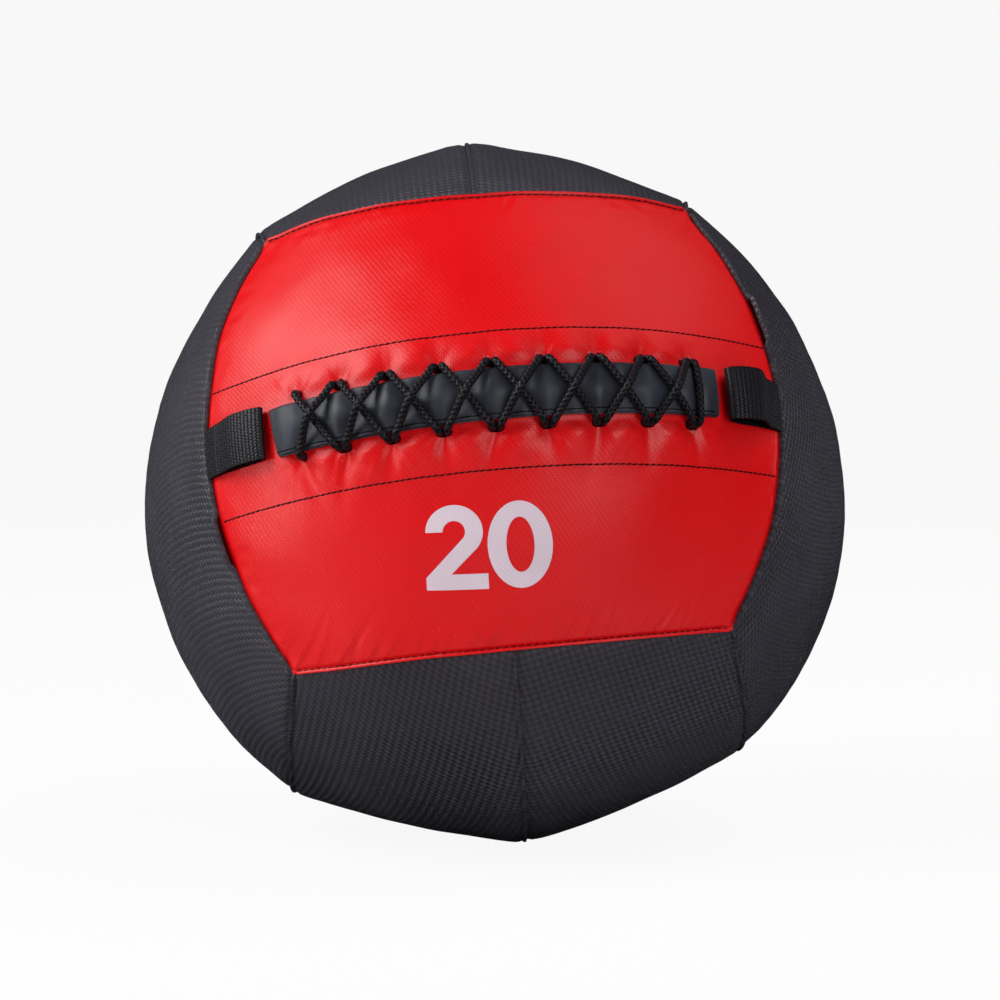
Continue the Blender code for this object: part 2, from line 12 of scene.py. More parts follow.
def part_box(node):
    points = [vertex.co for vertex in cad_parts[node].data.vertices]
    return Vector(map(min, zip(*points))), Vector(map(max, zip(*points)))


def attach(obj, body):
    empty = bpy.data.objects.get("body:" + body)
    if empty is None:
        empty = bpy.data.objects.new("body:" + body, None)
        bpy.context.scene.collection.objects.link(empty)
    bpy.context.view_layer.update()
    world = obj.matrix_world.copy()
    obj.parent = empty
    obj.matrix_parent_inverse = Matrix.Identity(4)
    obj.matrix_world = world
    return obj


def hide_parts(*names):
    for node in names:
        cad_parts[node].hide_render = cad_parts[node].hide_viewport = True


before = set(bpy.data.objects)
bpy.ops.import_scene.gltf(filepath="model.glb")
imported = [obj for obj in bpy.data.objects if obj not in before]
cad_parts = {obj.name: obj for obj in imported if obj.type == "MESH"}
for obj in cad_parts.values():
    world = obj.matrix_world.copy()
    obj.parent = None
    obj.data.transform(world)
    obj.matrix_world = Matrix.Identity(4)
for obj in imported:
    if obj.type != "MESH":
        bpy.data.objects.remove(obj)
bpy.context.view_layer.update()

bl_info = {
    "name": "Wall Ball",
    "version": (1, 0, 0),
    "blender": (4, 5, 0),
    "location": "3D View > Sidebar > Wall Ball",
    "description": "Dresses a stuffed conditioning ball: sewn panels, laced closure, loops and figure",
    "category": "Object",
}

MM = 0.001

# The ball's own sizes, as its solids have them
BALL_RADIUS = 178 * MM
OUTER_SEAM_DEG = 39.0
CORNER_RISE_SHARE = 0.017
OUTER_SEAM_RISE_SHARE = 0.004
OUTER_SEAM_POWER = 2.5
SPLIT_SEAM_RISE_SHARE = 0.008
PANEL_DIP_SHARE = 0.021
LOW_SWELL_SHARE = 0.016
PITCH_DEG, ROLL_DEG, YAW_DEG = -19.2, -4.7, 1.4

# Uneven packing: place, how far the skin creeps and how far it rises there as shares of the radius, and
# reach in degrees
UNEVEN_SHARES = (
    ((-0.58, -0.58, 0.58), (0.0, 0.03, 0.035), 0.006, 20),
    ((0.58, -0.58, 0.58), (0.0, 0.025, 0.02), 0.002, 20),
    ((-0.58, -0.58, -0.58), (0.0, 0.01, -0.015), 0.004, 18),
    ((-0.70, 0.10, -0.70), (0.0, 0.0, 0.0), 0.014, 17),
    ((0.30, 0.15, -0.94), (0.0, 0.0, 0.0), -0.013, 16),
    ((0.61, -0.31, 0.73), (0.0, 0.0, 0.0), -0.008, 12),
    ((-0.30, -0.34, 0.89), (0.0, 0.0, 0.0), 0.009, 15),
    ((0.0, 0.33, -0.94), (0.0, 0.0, 0.0), -0.007, 12),
)

# The closure, its lace and its loops
LACE_RADIUS = 2.0 * MM
LACE_SELF_GAP = 0.9 * MM
LACE_BEND = 3.2 * MM
HOLE_COLUMNS = 9
HOLE_ROW_UP = 15.6 * MM
HOLE_CLEARANCE = 0.6 * MM
FLAP_HALF_WIDE = 11.9 * MM
FLAP_THICKNESS = 2.0 * MM
FLAP_GAP = 0.4 * MM
FLAP_LOOP_GAP = 3.0 * MM
FLAP_END_OVERHANG = 14.0 * MM
FACING_DEPTH = 7.0 * MM
FACING_GAP = 0.5 * MM
FIT_GAP = 0.3 * MM
WEBBING_WIDTH = 25.4 * MM
WEBBING_THICKNESS = 1.7 * MM
LOOP_SETBACK = 2.4 * MM
LOOP_STITCHED_LENGTH = 8 * MM
LOOP_FOLD_SHARE = 0.34

# Loops of webbing: side of the ball, length from the seam, height of the opening
LOOPS = {"left": (-1, 41 * MM, 3.4 * MM), "right": (1, 40 * MM, 8.4 * MM)}

HALF_LONG = radians(90 - OUTER_SEAM_DEG)
HALF_WIDE = radians(OUTER_SEAM_DEG)
PANEL_LENGTH = BALL_RADIUS * HALF_LONG
PANEL_WIDTH = BALL_RADIUS * HALF_WIDE
SEAM_HALF_LONG = PANEL_LENGTH - LOOP_SETBACK
FLAP_HALF_LONG = SEAM_HALF_LONG - LOOPS["left"][1] - FLAP_LOOP_GAP
HOLE_PITCH = (FLAP_HALF_LONG - FLAP_END_OVERHANG) * 2 / (HOLE_COLUMNS - 1)
STRAND_LIFT = FLAP_GAP + FLAP_THICKNESS + FIT_GAP + LACE_RADIUS
CROSSING_RISE = 2 * LACE_RADIUS + LACE_SELF_GAP
PASS_OFFSET = 1.75 * MM
FIRST_BAR_LIFT = -(FACING_DEPTH + FACING_GAP + FIT_GAP + LACE_RADIUS)
SECOND_BAR_LIFT = FIRST_BAR_LIFT - CROSSING_RISE
LACE_END_LIFT = -FACING_DEPTH - FACING_GAP + FIT_GAP

POSE = np.array(Euler((radians(PITCH_DEG), radians(ROLL_DEG), radians(YAW_DEG))).to_matrix())
BALL_CENTRE = np.array(sum(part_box("ballast_fill"), Vector()) / 2)

X_AXIS, Y_AXIS, Z_AXIS = np.eye(3)

# Panels: outward side, way from split seam to outer seam, whether the split edge laps over
PANELS = {
    "front_upper": (-Y_AXIS, Z_AXIS, True),
    "front_lower": (-Y_AXIS, -Z_AXIS, False),
    "back_upper": (Y_AXIS, Z_AXIS, True),
    "back_lower": (Y_AXIS, -Z_AXIS, False),
    "top_left": (Z_AXIS, -X_AXIS, False),
    "top_right": (Z_AXIS, X_AXIS, True),
    "bottom_left": (-Z_AXIS, -X_AXIS, True),
    "bottom_right": (-Z_AXIS, X_AXIS, False),
    "left_front": (-X_AXIS, -Y_AXIS, True),
    "left_back": (-X_AXIS, Y_AXIS, False),
    "right_front": (X_AXIS, -Y_AXIS, True),
    "right_back": (X_AXIS, Y_AXIS, False),
}

# The red panels, and which way along the closure each one's length runs
RED_PANELS = {"front_upper": 1, "front_lower": -1}

# Sewing: a folded edge laps over its neighbour and is stitched down beside the fold
LAP = 0.8 * MM
SPLIT_FOLD_SHARE = 0.5
LIP_SINK = 0.9 * MM
LIP_ROUND = 0.8 * MM
LIP_CREST = 1.3 * MM
GROOVE_DEPTH = 0.55 * MM
GROOVE_HALF = 0.5 * MM
SHOULDER = 2.4 * MM
SHOULDER_RISE = 0.3 * MM
UNDER_DEPTH = 0.75 * MM
UNDER_SLOPE = 3.6 * MM
UNDER_DIVE, UNDER_DIVE_REACH = 0.9 * MM, 2 * MM
PRESSED_DEPTH, PRESSED_REACH = 0.3 * MM, 3.5 * MM
CORNER_STUB, STUB_REACH = 1.5 * MM, 5.0 * MM
CREASE_ROUND, CREASE_FILL = 9.0 * MM, 0.6

# The red split seam, flattened so that the flap lies over it
RED_SPLIT_SINK, RED_SPLIT_REACH = 0.6 * MM, 6 * MM
FLAP_BED_LIFT, FLAP_BED_EDGE, FLAP_BED_REACH = 0.1 * MM, 1 * MM, 8 * MM

# Lines of the fine sheets near their edges, their cells between, and a panel's whole length over the
# half of it at its split seam
LIP_LINES = np.array((0, 0.12, 0.35, 0.7, 1.2, 1.7, 2.1, 2.5, 2.9, 3.5, 4.3, 5.3, 6.5)) * MM - LAP
UNDER_LINES = np.array((-3.0, -1.8, -0.9, 0, 0.9, 1.8, 2.8, 4.0, 5.4)) * MM
FINE_CELL, COARSE_CELL = 1.2 * MM, 2.0 * MM
PANEL_LENGTH_SHARE = 1.75
TABLE_STEPS, TABLE_ROUNDS = 24, 3
FLOOR_GAP = 0.02 * MM

# How far off its seams each panel's cloth is cut
GRAIN_DEG = {"bottom_left": 11, "bottom_right": -13, "left_front": -17, "right_front": 17}

# Hem lines on the red panels: the panel and the height over the closure
HEMS = (("front_upper", 31.5 * MM), ("front_lower", 34.5 * MM))

CLOTH_UV = "cloth"
RELIEF = "relief"
WELD_DISTANCE = 0.01 * MM


class BallSewing(PropertyGroup):
    """Sizes of the sewing that a user would change."""

    lip_height: FloatProperty(
        name="Fold height", description="How far a folded seam edge stands up", default=1.35 * MM,
        min=0, unit="LENGTH")
    stitch_inset: FloatProperty(
        name="Stitch inset", description="From a fold to the stitches beside it", default=2.5 * MM,
        min=1.6 * MM, unit="LENGTH")
    stitch_pitch: FloatProperty(
        name="Stitch pitch", description="From one stitch to the next", default=3.6 * MM,
        min=1 * MM, unit="LENGTH")
    stitch_length: FloatProperty(
        name="Stitch length", description="Length of thread that shows in a stitch", default=3.35 * MM,
        min=0.5 * MM, unit="LENGTH")
    thread_width: FloatProperty(
        name="Thread width", description="Thickness of the sewing thread", default=0.58 * MM,
        min=0.1 * MM, unit="LENGTH")
    cloth_thickness: FloatProperty(
        name="Vinyl thickness", description="Thickness of the cover's skin", default=1.6 * MM,
        min=0.2 * MM, unit="LENGTH")
    gather_depth: FloatProperty(
        name="Gather depth", description="Depth of the puckers along the seams", default=0.3 * MM,
        min=0, unit="LENGTH")
    pull_depth: FloatProperty(
        name="Lace pull", description="Depth of the dents at the lace holes", default=1.8 * MM,
        min=0, unit="LENGTH")
    puff: FloatProperty(
        name="Flap puff", description="How far the flap swells between the lace's strands",
        default=2.6 * MM, min=0, unit="LENGTH")


class BallColours(PropertyGroup):
    """Colours that a user would change."""

    black_vinyl: FloatVectorProperty(
        name="Black vinyl", description="Colour of the ten black panels", subtype="COLOR",
        default=(0.048, 0.044, 0.058), min=0, max=1)
    red_vinyl: FloatVectorProperty(
        name="Red vinyl", description="Colour of the two front panels", subtype="COLOR",
        default=(0.78, 0.003, 0.006), min=0, max=1)
    flap: FloatVectorProperty(
        name="Flap", description="Colour of the flap under the lace", subtype="COLOR",
        default=(0.028, 0.031, 0.043), min=0, max=1)
    cord: FloatVectorProperty(
        name="Cord", description="Colour of the lace and the webbing", subtype="COLOR",
        default=(0.0068, 0.0060, 0.0086), min=0, max=1)
    figure: FloatVectorProperty(
        name="Figure", description="Colour of the printed number", subtype="COLOR",
        default=(0.76, 0.64, 0.72), min=0, max=1)


class BallStudio(PropertyGroup):
    """The camera and the lights."""

    distance: FloatProperty(
        name="Distance", description="From the camera to the middle of the ball", default=1.78,
        min=0.5, unit="LENGTH")
    elevation: FloatProperty(
        name="Elevation", description="How steeply the camera looks down", default=radians(4),
        subtype="ANGLE")
    lens: FloatProperty(
        name="Lens", description="Focal length on a sensor of 36 mm", default=124.19, min=20,
        subtype="DISTANCE_CAMERA")
    light: FloatProperty(
        name="Light", description="Strength of all the lamps", default=1.0, min=0)


# Numbers

def mix(low, high, share):
    """The value at a share of the way from low to high."""
    return low + (high - low) * share


def smooth(share):
    """A share eased in and out."""
    share = np.clip(share, 0, 1)
    return share * share * (3 - 2 * share)


def near(distance, reach):
    """A soft bump: 1 at no distance, dying away past its reach."""
    return np.exp(-(distance / reach) ** 2)


def rounded(inset, reach):
    """Rise of a round edge: 0 at the edge, 1 from its reach on."""
    return np.sqrt(1 - (1 - np.clip(inset / reach, 0, 1)) ** 2)


def unit(vectors):
    """Vectors scaled to a length of one."""
    return vectors / np.linalg.norm(vectors, axis=-1, keepdims=True)


# The stuffed surface, as the solids have it

LEFT_TOP, RIGHT_TOP, LEFT_BOTTOM, RIGHT_BOTTOM = unit(
    np.array(((-1, -1, 1), (1, -1, 1), (-1, -1, -1), (1, -1, -1)), float))
TOP_MIDDLE = np.array((0, -cos(HALF_WIDE), sin(HALF_WIDE)))
LEFT_MIDDLE = np.array((-cos(HALF_WIDE), -sin(HALF_WIDE), 0))
RIGHT_MIDDLE = np.array((cos(HALF_WIDE), -sin(HALF_WIDE), 0))


def seam_arc(start, middle, end, share):
    """Points on the sphere's circle from start through middle to end."""
    pole = unit(np.cross(middle - start, end - start))
    centre = pole * pole.dot(start)
    first = start - centre
    side = np.cross(pole, first)
    last = end - centre
    angle = share[..., None] * (atan2(last.dot(side), last.dot(first)) % tau)
    return centre + first * np.cos(angle) + side * np.sin(angle)


def panel_direction(u, v):
    """Directions on the front's upper panel: u is -1 to 1 along it, v 0 to 1 across it."""
    along = (u + 1) / 2
    split = np.stack((np.sin(HALF_LONG * u), -np.cos(HALF_LONG * u), 0 * u), axis=-1)
    outer = seam_arc(LEFT_TOP, TOP_MIDDLE, RIGHT_TOP, along)
    left = seam_arc(LEFT_BOTTOM, LEFT_MIDDLE, LEFT_TOP, (1 + v) / 2)
    right = seam_arc(RIGHT_BOTTOM, RIGHT_MIDDLE, RIGHT_TOP, (1 + v) / 2)
    along, across = along[..., None], v[..., None]
    corners = mix(mix(LEFT_MIDDLE, RIGHT_MIDDLE, along), mix(LEFT_TOP, RIGHT_TOP, along), across)
    return unit(mix(split, outer, across) + mix(left, right, along) - corners)


def outer_seam_rise(share):
    """How far an outer seam stands out, from its middle at 0 to a corner at 1."""
    rise = CORNER_RISE_SHARE - OUTER_SEAM_RISE_SHARE
    return OUTER_SEAM_RISE_SHARE + rise * np.abs(share) ** OUTER_SEAM_POWER


def panel_rise(u, v):
    """How far a panel stands out: high at its seams, flattened between them."""
    split = mix(SPLIT_SEAM_RISE_SHARE, OUTER_SEAM_RISE_SHARE, u ** 2)
    ends = outer_seam_rise(v) - mix(OUTER_SEAM_RISE_SHARE, CORNER_RISE_SHARE, v)
    dip = PANEL_DIP_SHARE * 4 * v * (1 - v) * (1 - u ** 4)
    return mix(split, outer_seam_rise(u), v) + ends - dip


def settled(way):
    """Directions after the uneven packing has shifted them, and how far the skin stands out there."""
    low = np.clip(-(way @ POSE[2]), 0, None)
    rise = LOW_SWELL_SHARE * 4 * low ** 2 * (1 - low ** 2)
    moved = way.copy()
    for place, creep, lift, reach in UNEVEN_SHARES:
        angle = np.arccos(np.clip(way @ unit(np.array(place)), -1, 1))
        nearness = near(angle, radians(reach))
        moved += np.array(creep) * nearness[..., None]
        rise += lift * nearness
    return unit(moved), rise


def panel_point(name, u, v, lift=0.0):
    """World places on a panel by its shares and their lift."""
    u, v = np.broadcast_arrays(u, v)
    outward, across = PANELS[name][:2]
    turn = np.stack((np.cross(across, outward), -outward, across), axis=1)
    way, rise = settled(panel_direction(u, v) @ turn.T)
    radius = BALL_RADIUS * (1 + panel_rise(u, v) + rise) + lift
    return (way * radius[..., None]) @ POSE.T + BALL_CENTRE


def closure_point(along, up, lift=0.0):
    """World places by length along the front's split seam, height over it and lift."""
    along, up, lift = np.broadcast_arrays(along, up, lift)
    u, v = along / PANEL_LENGTH, np.abs(up) / PANEL_WIDTH
    upper = panel_point("front_upper", u, v, lift)
    lower = panel_point("front_lower", -u, v, lift)
    return np.where(up[..., None] >= 0, upper, lower)


def crease_fill(along, up):
    """What rounds off the ridge of the front's split seam under things laid across it."""
    u = np.clip(np.abs(along) / PANEL_LENGTH, 0, 1)
    fall = 4 * PANEL_DIP_SHARE * (1 - u ** 4) + CORNER_RISE_SHARE - OUTER_SEAM_RISE_SHARE
    fall += mix(SPLIT_SEAM_RISE_SHARE, OUTER_SEAM_RISE_SHARE, u ** 2) - outer_seam_rise(u)
    slope = fall * BALL_RADIUS / PANEL_WIDTH
    return slope * (np.abs(up) - np.hypot(up, CREASE_ROUND) + CREASE_ROUND * CREASE_FILL)


def closure_frame(along, up):
    """The matrix of a place on the closure: X along it, Y up it and Z out of the ball."""
    place, ahead = closure_point(np.array((along, along + MM)), up)
    out = unit(place - BALL_CENTRE)
    rise = unit(np.cross(out, ahead - place))
    matrix = Matrix(np.stack((np.cross(rise, out), rise, out), axis=1).tolist()).to_4x4()
    matrix.translation = place
    return matrix


def column_along(column):
    """Where a column of holes lies along the closure, the first at the left."""
    return (column - (HOLE_COLUMNS + 1) / 2) * HOLE_PITCH


# Sewn detail over that surface

def panel_places(name, x_offset, x_share, y_offset, y_share):
    """Shares on a panel of points set out as offset plus share of its length and width there, and
    their distances from its left end, right end, split seam and outer seam."""
    shares = np.linspace(0, 1, TABLE_STEPS)
    table = panel_point(name, *np.meshgrid(2 * shares - 1, shares, indexing="ij"))
    lengths = np.linalg.norm(np.diff(table, axis=0), axis=2).sum(axis=0)
    widths = np.linalg.norm(np.diff(table, axis=1), axis=2).sum(axis=1)
    u, v = 2 * x_share - 1, y_share
    for _ in range(TABLE_ROUNDS):
        length = np.interp(v, shares, lengths)
        width = np.interp(u, 2 * shares - 1, widths)
        x = x_offset + x_share * length
        y = y_offset + y_share * width
        u, v = 2 * x / length - 1, y / width
    u, v, x, y = np.broadcast_arrays(u, v, x, y)
    return u, v, (x, length - x, y, width - y)


def graded_lines(start, end, length, step):
    """Lines across a length, as offsets and shares of it: close at both ends, even between."""
    count = max(2, round((length - start[-1] - end[-1]) / step))
    shares = np.arange(1, count) / count
    offsets = np.concatenate((start, mix(start[-1], -end[-1], shares), -end[::-1]))
    return offsets, np.concatenate((0 * start, shares, 1 + 0 * end))


def lap_profile(inset, sewing):
    """Height of a lapped edge from its fold: a round lip, a stitched groove, a soft shoulder."""
    fall = smooth((inset - LIP_CREST) / (sewing.stitch_inset - LIP_CREST))
    groove = GROOVE_DEPTH * near(inset - sewing.stitch_inset, GROOVE_HALF)
    shoulder = SHOULDER_RISE * near(inset - sewing.stitch_inset - SHOULDER, SHOULDER)
    crown = (LIP_SINK + sewing.lip_height * (1 - fall)) * rounded(inset, LIP_ROUND)
    return crown - LIP_SINK - groove + shoulder


def under_profile(inset):
    """Height of an edge that goes beneath its neighbour's fold, and dives further past the seam."""
    sunk = -UNDER_DEPTH * (1 - smooth((inset - LAP) / UNDER_SLOPE))
    return sunk - UNDER_DIVE * smooth(-inset / UNDER_DIVE_REACH)


def pressed_end(fold, end):
    """A fold that is pressed flat where it goes beneath its neighbour's."""
    flat = np.minimum(fold, -PRESSED_DEPTH)
    return mix(flat, fold, smooth((end - PRESSED_DEPTH) / PRESSED_REACH))


def gathers(along, inset, seed, pitch, depth, reach):
    """Puckers that run in from a seam, each a dent with a sharp ridge beside it."""
    random = np.random.default_rng(seed)
    rise = 0 * along
    for place in np.arange(0, along.max(), pitch):
        centre = place + random.uniform(-0.4, 0.4) * pitch + random.uniform(-0.3, 0.3) * inset
        deep = random.uniform(0.3, 1) * depth
        far = random.uniform(0.5, 1.3) * reach
        wide = random.uniform(0.2, 0.42) * pitch
        ridge = GATHER_RIDGE * near(along - centre - 1.3 * wide, 0.35 * wide)
        rise -= deep * (near(along - centre, wide) - ridge) * near(inset, far)
    return rise * mix(GATHER_LEAST, 1, smooth((inset - GATHER_FROM) / GATHER_RAMP))


# Gathers: panel and edge, then pitch, depth as a share of the set depth, and reach
GATHERS = {
    ("front_lower", "outer"): (8 * MM, 3.0, 16 * MM),
    ("front_upper", "outer"): (9 * MM, 1.4, 12 * MM),
    ("front_lower", "left"): (10 * MM, 0.9, 10 * MM),
    ("front_lower", "right"): (10 * MM, 0.9, 10 * MM),
}
PLAIN_GATHERS = (12 * MM, 0.8, 9 * MM)
GATHER_RIDGE = 0.7
GATHER_LEAST, GATHER_FROM, GATHER_RAMP = 0.15, 1.5 * MM, 3 * MM

# Lumps of the filling under the skin: wavelength and height
LUMPS = ((95 * MM, 0.35 * MM), (48 * MM, 0.22 * MM), (26 * MM, 0.1 * MM))
LUMPS_OF_EACH = 5

# Dents and wrinkles at the lace holes, by panel: longest reach, and depth as a share of the set depth
PULLS = {"front_upper": (10 * MM, 1.0), "front_lower": (17 * MM, 1.35)}
PULL_WIDTH, PULL_REACH = 4.2 * MM, 10 * MM
WRINKLES_PER_HOLE = 4
WRINKLE_WIDTH, WRINKLE_START = 1.3 * MM, 2 * MM
SWELL_SHARE = 0.45

# Bulge of a side panel's fold over the webbing
LOOP_BULGE, LOOP_BULGE_REACH, LOOP_BULGE_EDGE = 2.5 * MM, 5 * MM, 2.5 * MM


def stuffing_lumps(ways):
    """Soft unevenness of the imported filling, unbroken across the seams."""
    random = np.random.default_rng(7)
    rise = np.zeros(ways.shape[:-1])
    for wavelength, height in LUMPS:
        for _ in range(LUMPS_OF_EACH):
            heading = unit(random.normal(size=3))
            turns = ways @ heading * (BALL_RADIUS * tau / wavelength)
            rise += height / 2 * np.sin(turns + random.uniform(0, tau))
    return rise


def lace_pulls(name, u, v):
    """Dents at the lace holes, wrinkles out from them and swells between, for a depth of one."""
    random = np.random.default_rng(list(PANELS).index(name))
    along = RED_PANELS[name] * u * PANEL_LENGTH
    past = v * PANEL_WIDTH - HOLE_ROW_UP
    started = past - WRINKLE_START
    longest, share = PULLS[name]
    rise = 0 * along
    for column in range(1, HOLE_COLUMNS + 1):
        from_hole = along - column_along(column)
        reach = np.where(past > 0, longest * random.uniform(0.7, 1.2), PULL_REACH / 2)
        aside = from_hole - random.uniform(-0.3, 0.3) * past
        rise -= random.uniform(0.6, 1.0) * near(aside, PULL_WIDTH) * near(past, reach)
        for _ in range(WRINKLES_PER_HOLE):
            heading = random.uniform(-0.9, 0.9)
            out = random.uniform(0.5, 1.0) * longest
            wrinkle = near(from_hole - heading * (past + WRINKLE_START), WRINKLE_WIDTH) * near(started, out)
            rise += random.uniform(-0.22, 0.3) * wrinkle * smooth(past / WRINKLE_START + 1)
        if column < HOLE_COLUMNS:
            rise += SWELL_SHARE * near(aside - HOLE_PITCH / 2, HOLE_PITCH / 3.4) * near(started, PULL_REACH)
    return rise * share


def loop_bulge(name, x, outer):
    """Where a side panel's fold rides up over the webbing that is sewn in under it."""
    if name not in ("left_front", "right_front"):
        return 0
    aside = np.abs(x - x.max() / 2) - WEBBING_WIDTH / 2
    return LOOP_BULGE * (1 - smooth(aside / LOOP_BULGE_EDGE + 0.5)) * near(outer + LAP, LOOP_BULGE_REACH)


def dressed_lift(name, u, v, edges, sewing):
    """How far a panel's sewn and gathered skin stands off the plain surface."""
    left, right, split, outer = edges
    end = np.minimum(left, right)
    lift = pressed_end(lap_profile(outer + LAP, sewing), end)
    lift += under_profile(left) + under_profile(right)
    if name in RED_PANELS:
        lift -= RED_SPLIT_SINK * near(split, RED_SPLIT_REACH)
    elif PANELS[name][2]:
        lift += pressed_end(SPLIT_FOLD_SHARE * lap_profile(split + LAP, sewing), end)
    else:
        lift += under_profile(split)
    lift += CORNER_STUB * near(np.hypot(outer, end), STUB_REACH)
    across = (("outer", left, outer), ("split", left, split),
              ("left", split, left), ("right", split, right))
    for number, (edge, along, inset) in enumerate(across):
        pitch, share, reach = GATHERS.get((name, edge), PLAIN_GATHERS)
        seed = 10 * list(PANELS).index(name) + number
        lift = lift + gathers(along, inset, seed, pitch, share * sewing.gather_depth, reach)
    lift += stuffing_lumps(unit(panel_point(name, u, v) - BALL_CENTRE))
    lift += skin_settling(name, u, v) * smooth(np.minimum(end, outer) / SKIN_EDGE)
    if name in RED_PANELS:
        lift += sewing.pull_depth * lace_pulls(name, u, v)
        clear = smooth((split - FLAP_HALF_WIDE - FLAP_BED_EDGE) / FLAP_BED_REACH)
        lift = mix(np.minimum(lift, FLAP_BED_LIFT), lift, clear)
    return lift + loop_bulge(name, left, outer)


def dressed_panel(name, x_offset, x_share, y_offset, y_share, sewing):
    """World places on a dressed panel, and their cloth coordinates."""
    u, v, edges = panel_places(name, x_offset, x_share, y_offset, y_share)
    places = panel_point(name, u, v, dressed_lift(name, u, v, edges, sewing))
    places[..., 2] = np.maximum(places[..., 2], FLOOR_GAP)
    grain = radians(GRAIN_DEG.get(name, 0))
    warp = edges[0] * cos(grain) - edges[2] * sin(grain)
    weft = edges[0] * sin(grain) + edges[2] * cos(grain)
    return places, np.stack((warp, weft), axis=-1) + PANEL_LENGTH


# Meshes and pieces

def sheet_mesh(name, places, cloth, relief=None):
    """A mesh of one sheet: a grid carried to its places, with its cloth coordinates as its UV map."""
    columns, rows = places.shape[0] - 1, places.shape[1] - 1
    bm = bmesh.new()
    bmesh.ops.create_grid(bm, x_segments=columns, y_segments=rows, size=1)
    mesh = bpy.data.meshes.new(name)
    bm.to_mesh(mesh)
    bm.free()
    flat = np.empty(len(mesh.vertices) * 3, np.float32)
    mesh.vertices.foreach_get("co", flat)
    shares = (flat.reshape(-1, 3) + 1) / 2
    across = np.rint(shares[:, 0] * columns).astype(int)
    up = np.rint(shares[:, 1] * rows).astype(int)
    mesh.vertices.foreach_set("co", places[across, up].astype(np.float32).ravel())
    corners = np.empty(len(mesh.loops), np.int32)
    mesh.loops.foreach_get("vertex_index", corners)
    layer = mesh.uv_layers.new(name=CLOTH_UV)
    layer.uv.foreach_set("vector", cloth[across, up][corners].astype(np.float32).ravel())
    if relief is not None:
        heights = mesh.attributes.new(RELIEF, "FLOAT", "POINT")
        heights.data.foreach_set("value", relief[across, up].astype(np.float32))
    mesh.update()
    return mesh


def new_object(name, mesh):
    """An object in the scene."""
    item = bpy.data.objects.new(name, mesh)
    bpy.context.scene.collection.objects.link(item)
    return item


def bmesh_object(name, bm):
    """An object made from a bmesh, which is freed."""
    mesh = bpy.data.meshes.new(name)
    bm.to_mesh(mesh)
    bm.free()
    return new_object(name, mesh)


def settle_modifiers(item):
    """Apply an object's modifiers to its mesh."""
    bpy.context.view_layer.update()
    plain = item.data
    shown_in = bpy.context.evaluated_depsgraph_get()
    item.data = bpy.data.meshes.new_from_object(
        item.evaluated_get(shown_in), preserve_all_data_layers=True, depsgraph=shown_in)
    item.modifiers.clear()
    item.data.name = plain.name
    bpy.data.meshes.remove(plain)


def thicken(item, thickness, offset=-1.0):
    """Give a sheet its thickness."""
    wall = item.modifiers.new("thickness", "SOLIDIFY")
    wall.thickness = thickness
    wall.offset = offset
    wall.use_even_offset = False


def cut(item, cutter):
    """Cut one object out of another."""
    modifier = item.modifiers.new("cut", "BOOLEAN")
    modifier.object = cutter
    modifier.operation = "DIFFERENCE"
    modifier.solver = "EXACT"


def finish_piece(item, material, body, *nodes, crease_deg=50):
    """Give a piece its material, let it ride on its body and stand for its nodes."""
    item.data.materials.clear()
    item.data.materials.append(material)
    item.data.shade_smooth()
    item.data.set_sharp_from_angle(angle=radians(crease_deg))
    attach(item, body)
    if nodes:
        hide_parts(*nodes)
    return item


def arc_lengths(points):
    """Length along a row of points, up to each."""
    return np.concatenate(([0.0], np.cumsum(np.linalg.norm(np.diff(points, axis=0), axis=1))))


def along_points(points, lengths, wanted):
    """Points at the wanted lengths along a row of points."""
    return np.stack([np.interp(wanted, lengths, axis) for axis in points.T], axis=1)


# Cloth simulation: each panel is cut a little longer than its place, and gathered into its seams

SKIN_CELLS = (84, 36)
SKIN_FRAMES = 20
SKIN_CAP = 2.0 * MM
SKIN_EDGE = 4 * MM
SKIN_START = 0.1 * MM
SKIN_HELD, SKIN_HELD_AT_HOLE = 0.5 * MM, 3.2 * MM
SKIN_GATHER_REACH, SKIN_GATHER_AT_HOLES = 10 * MM, 13 * MM
SKIN_PINNED, SKIN_PLAIN = "sewn down", "not gathered"
SKIN_SETTINGS = {
    "quality": 5, "mass": 0.0005, "tension_stiffness": 25, "compression_stiffness": 25,
    "shear_stiffness": 6, "bending_stiffness": 0.0003, "air_damping": 2,
    "use_pressure": True, "uniform_pressure_force": 24.0,
    "vertex_group_mass": SKIN_PINNED, "vertex_group_shrink": SKIN_PLAIN,
    "shrink_min": -0.013, "shrink_max": -0.001,
}
SETTLED = {}


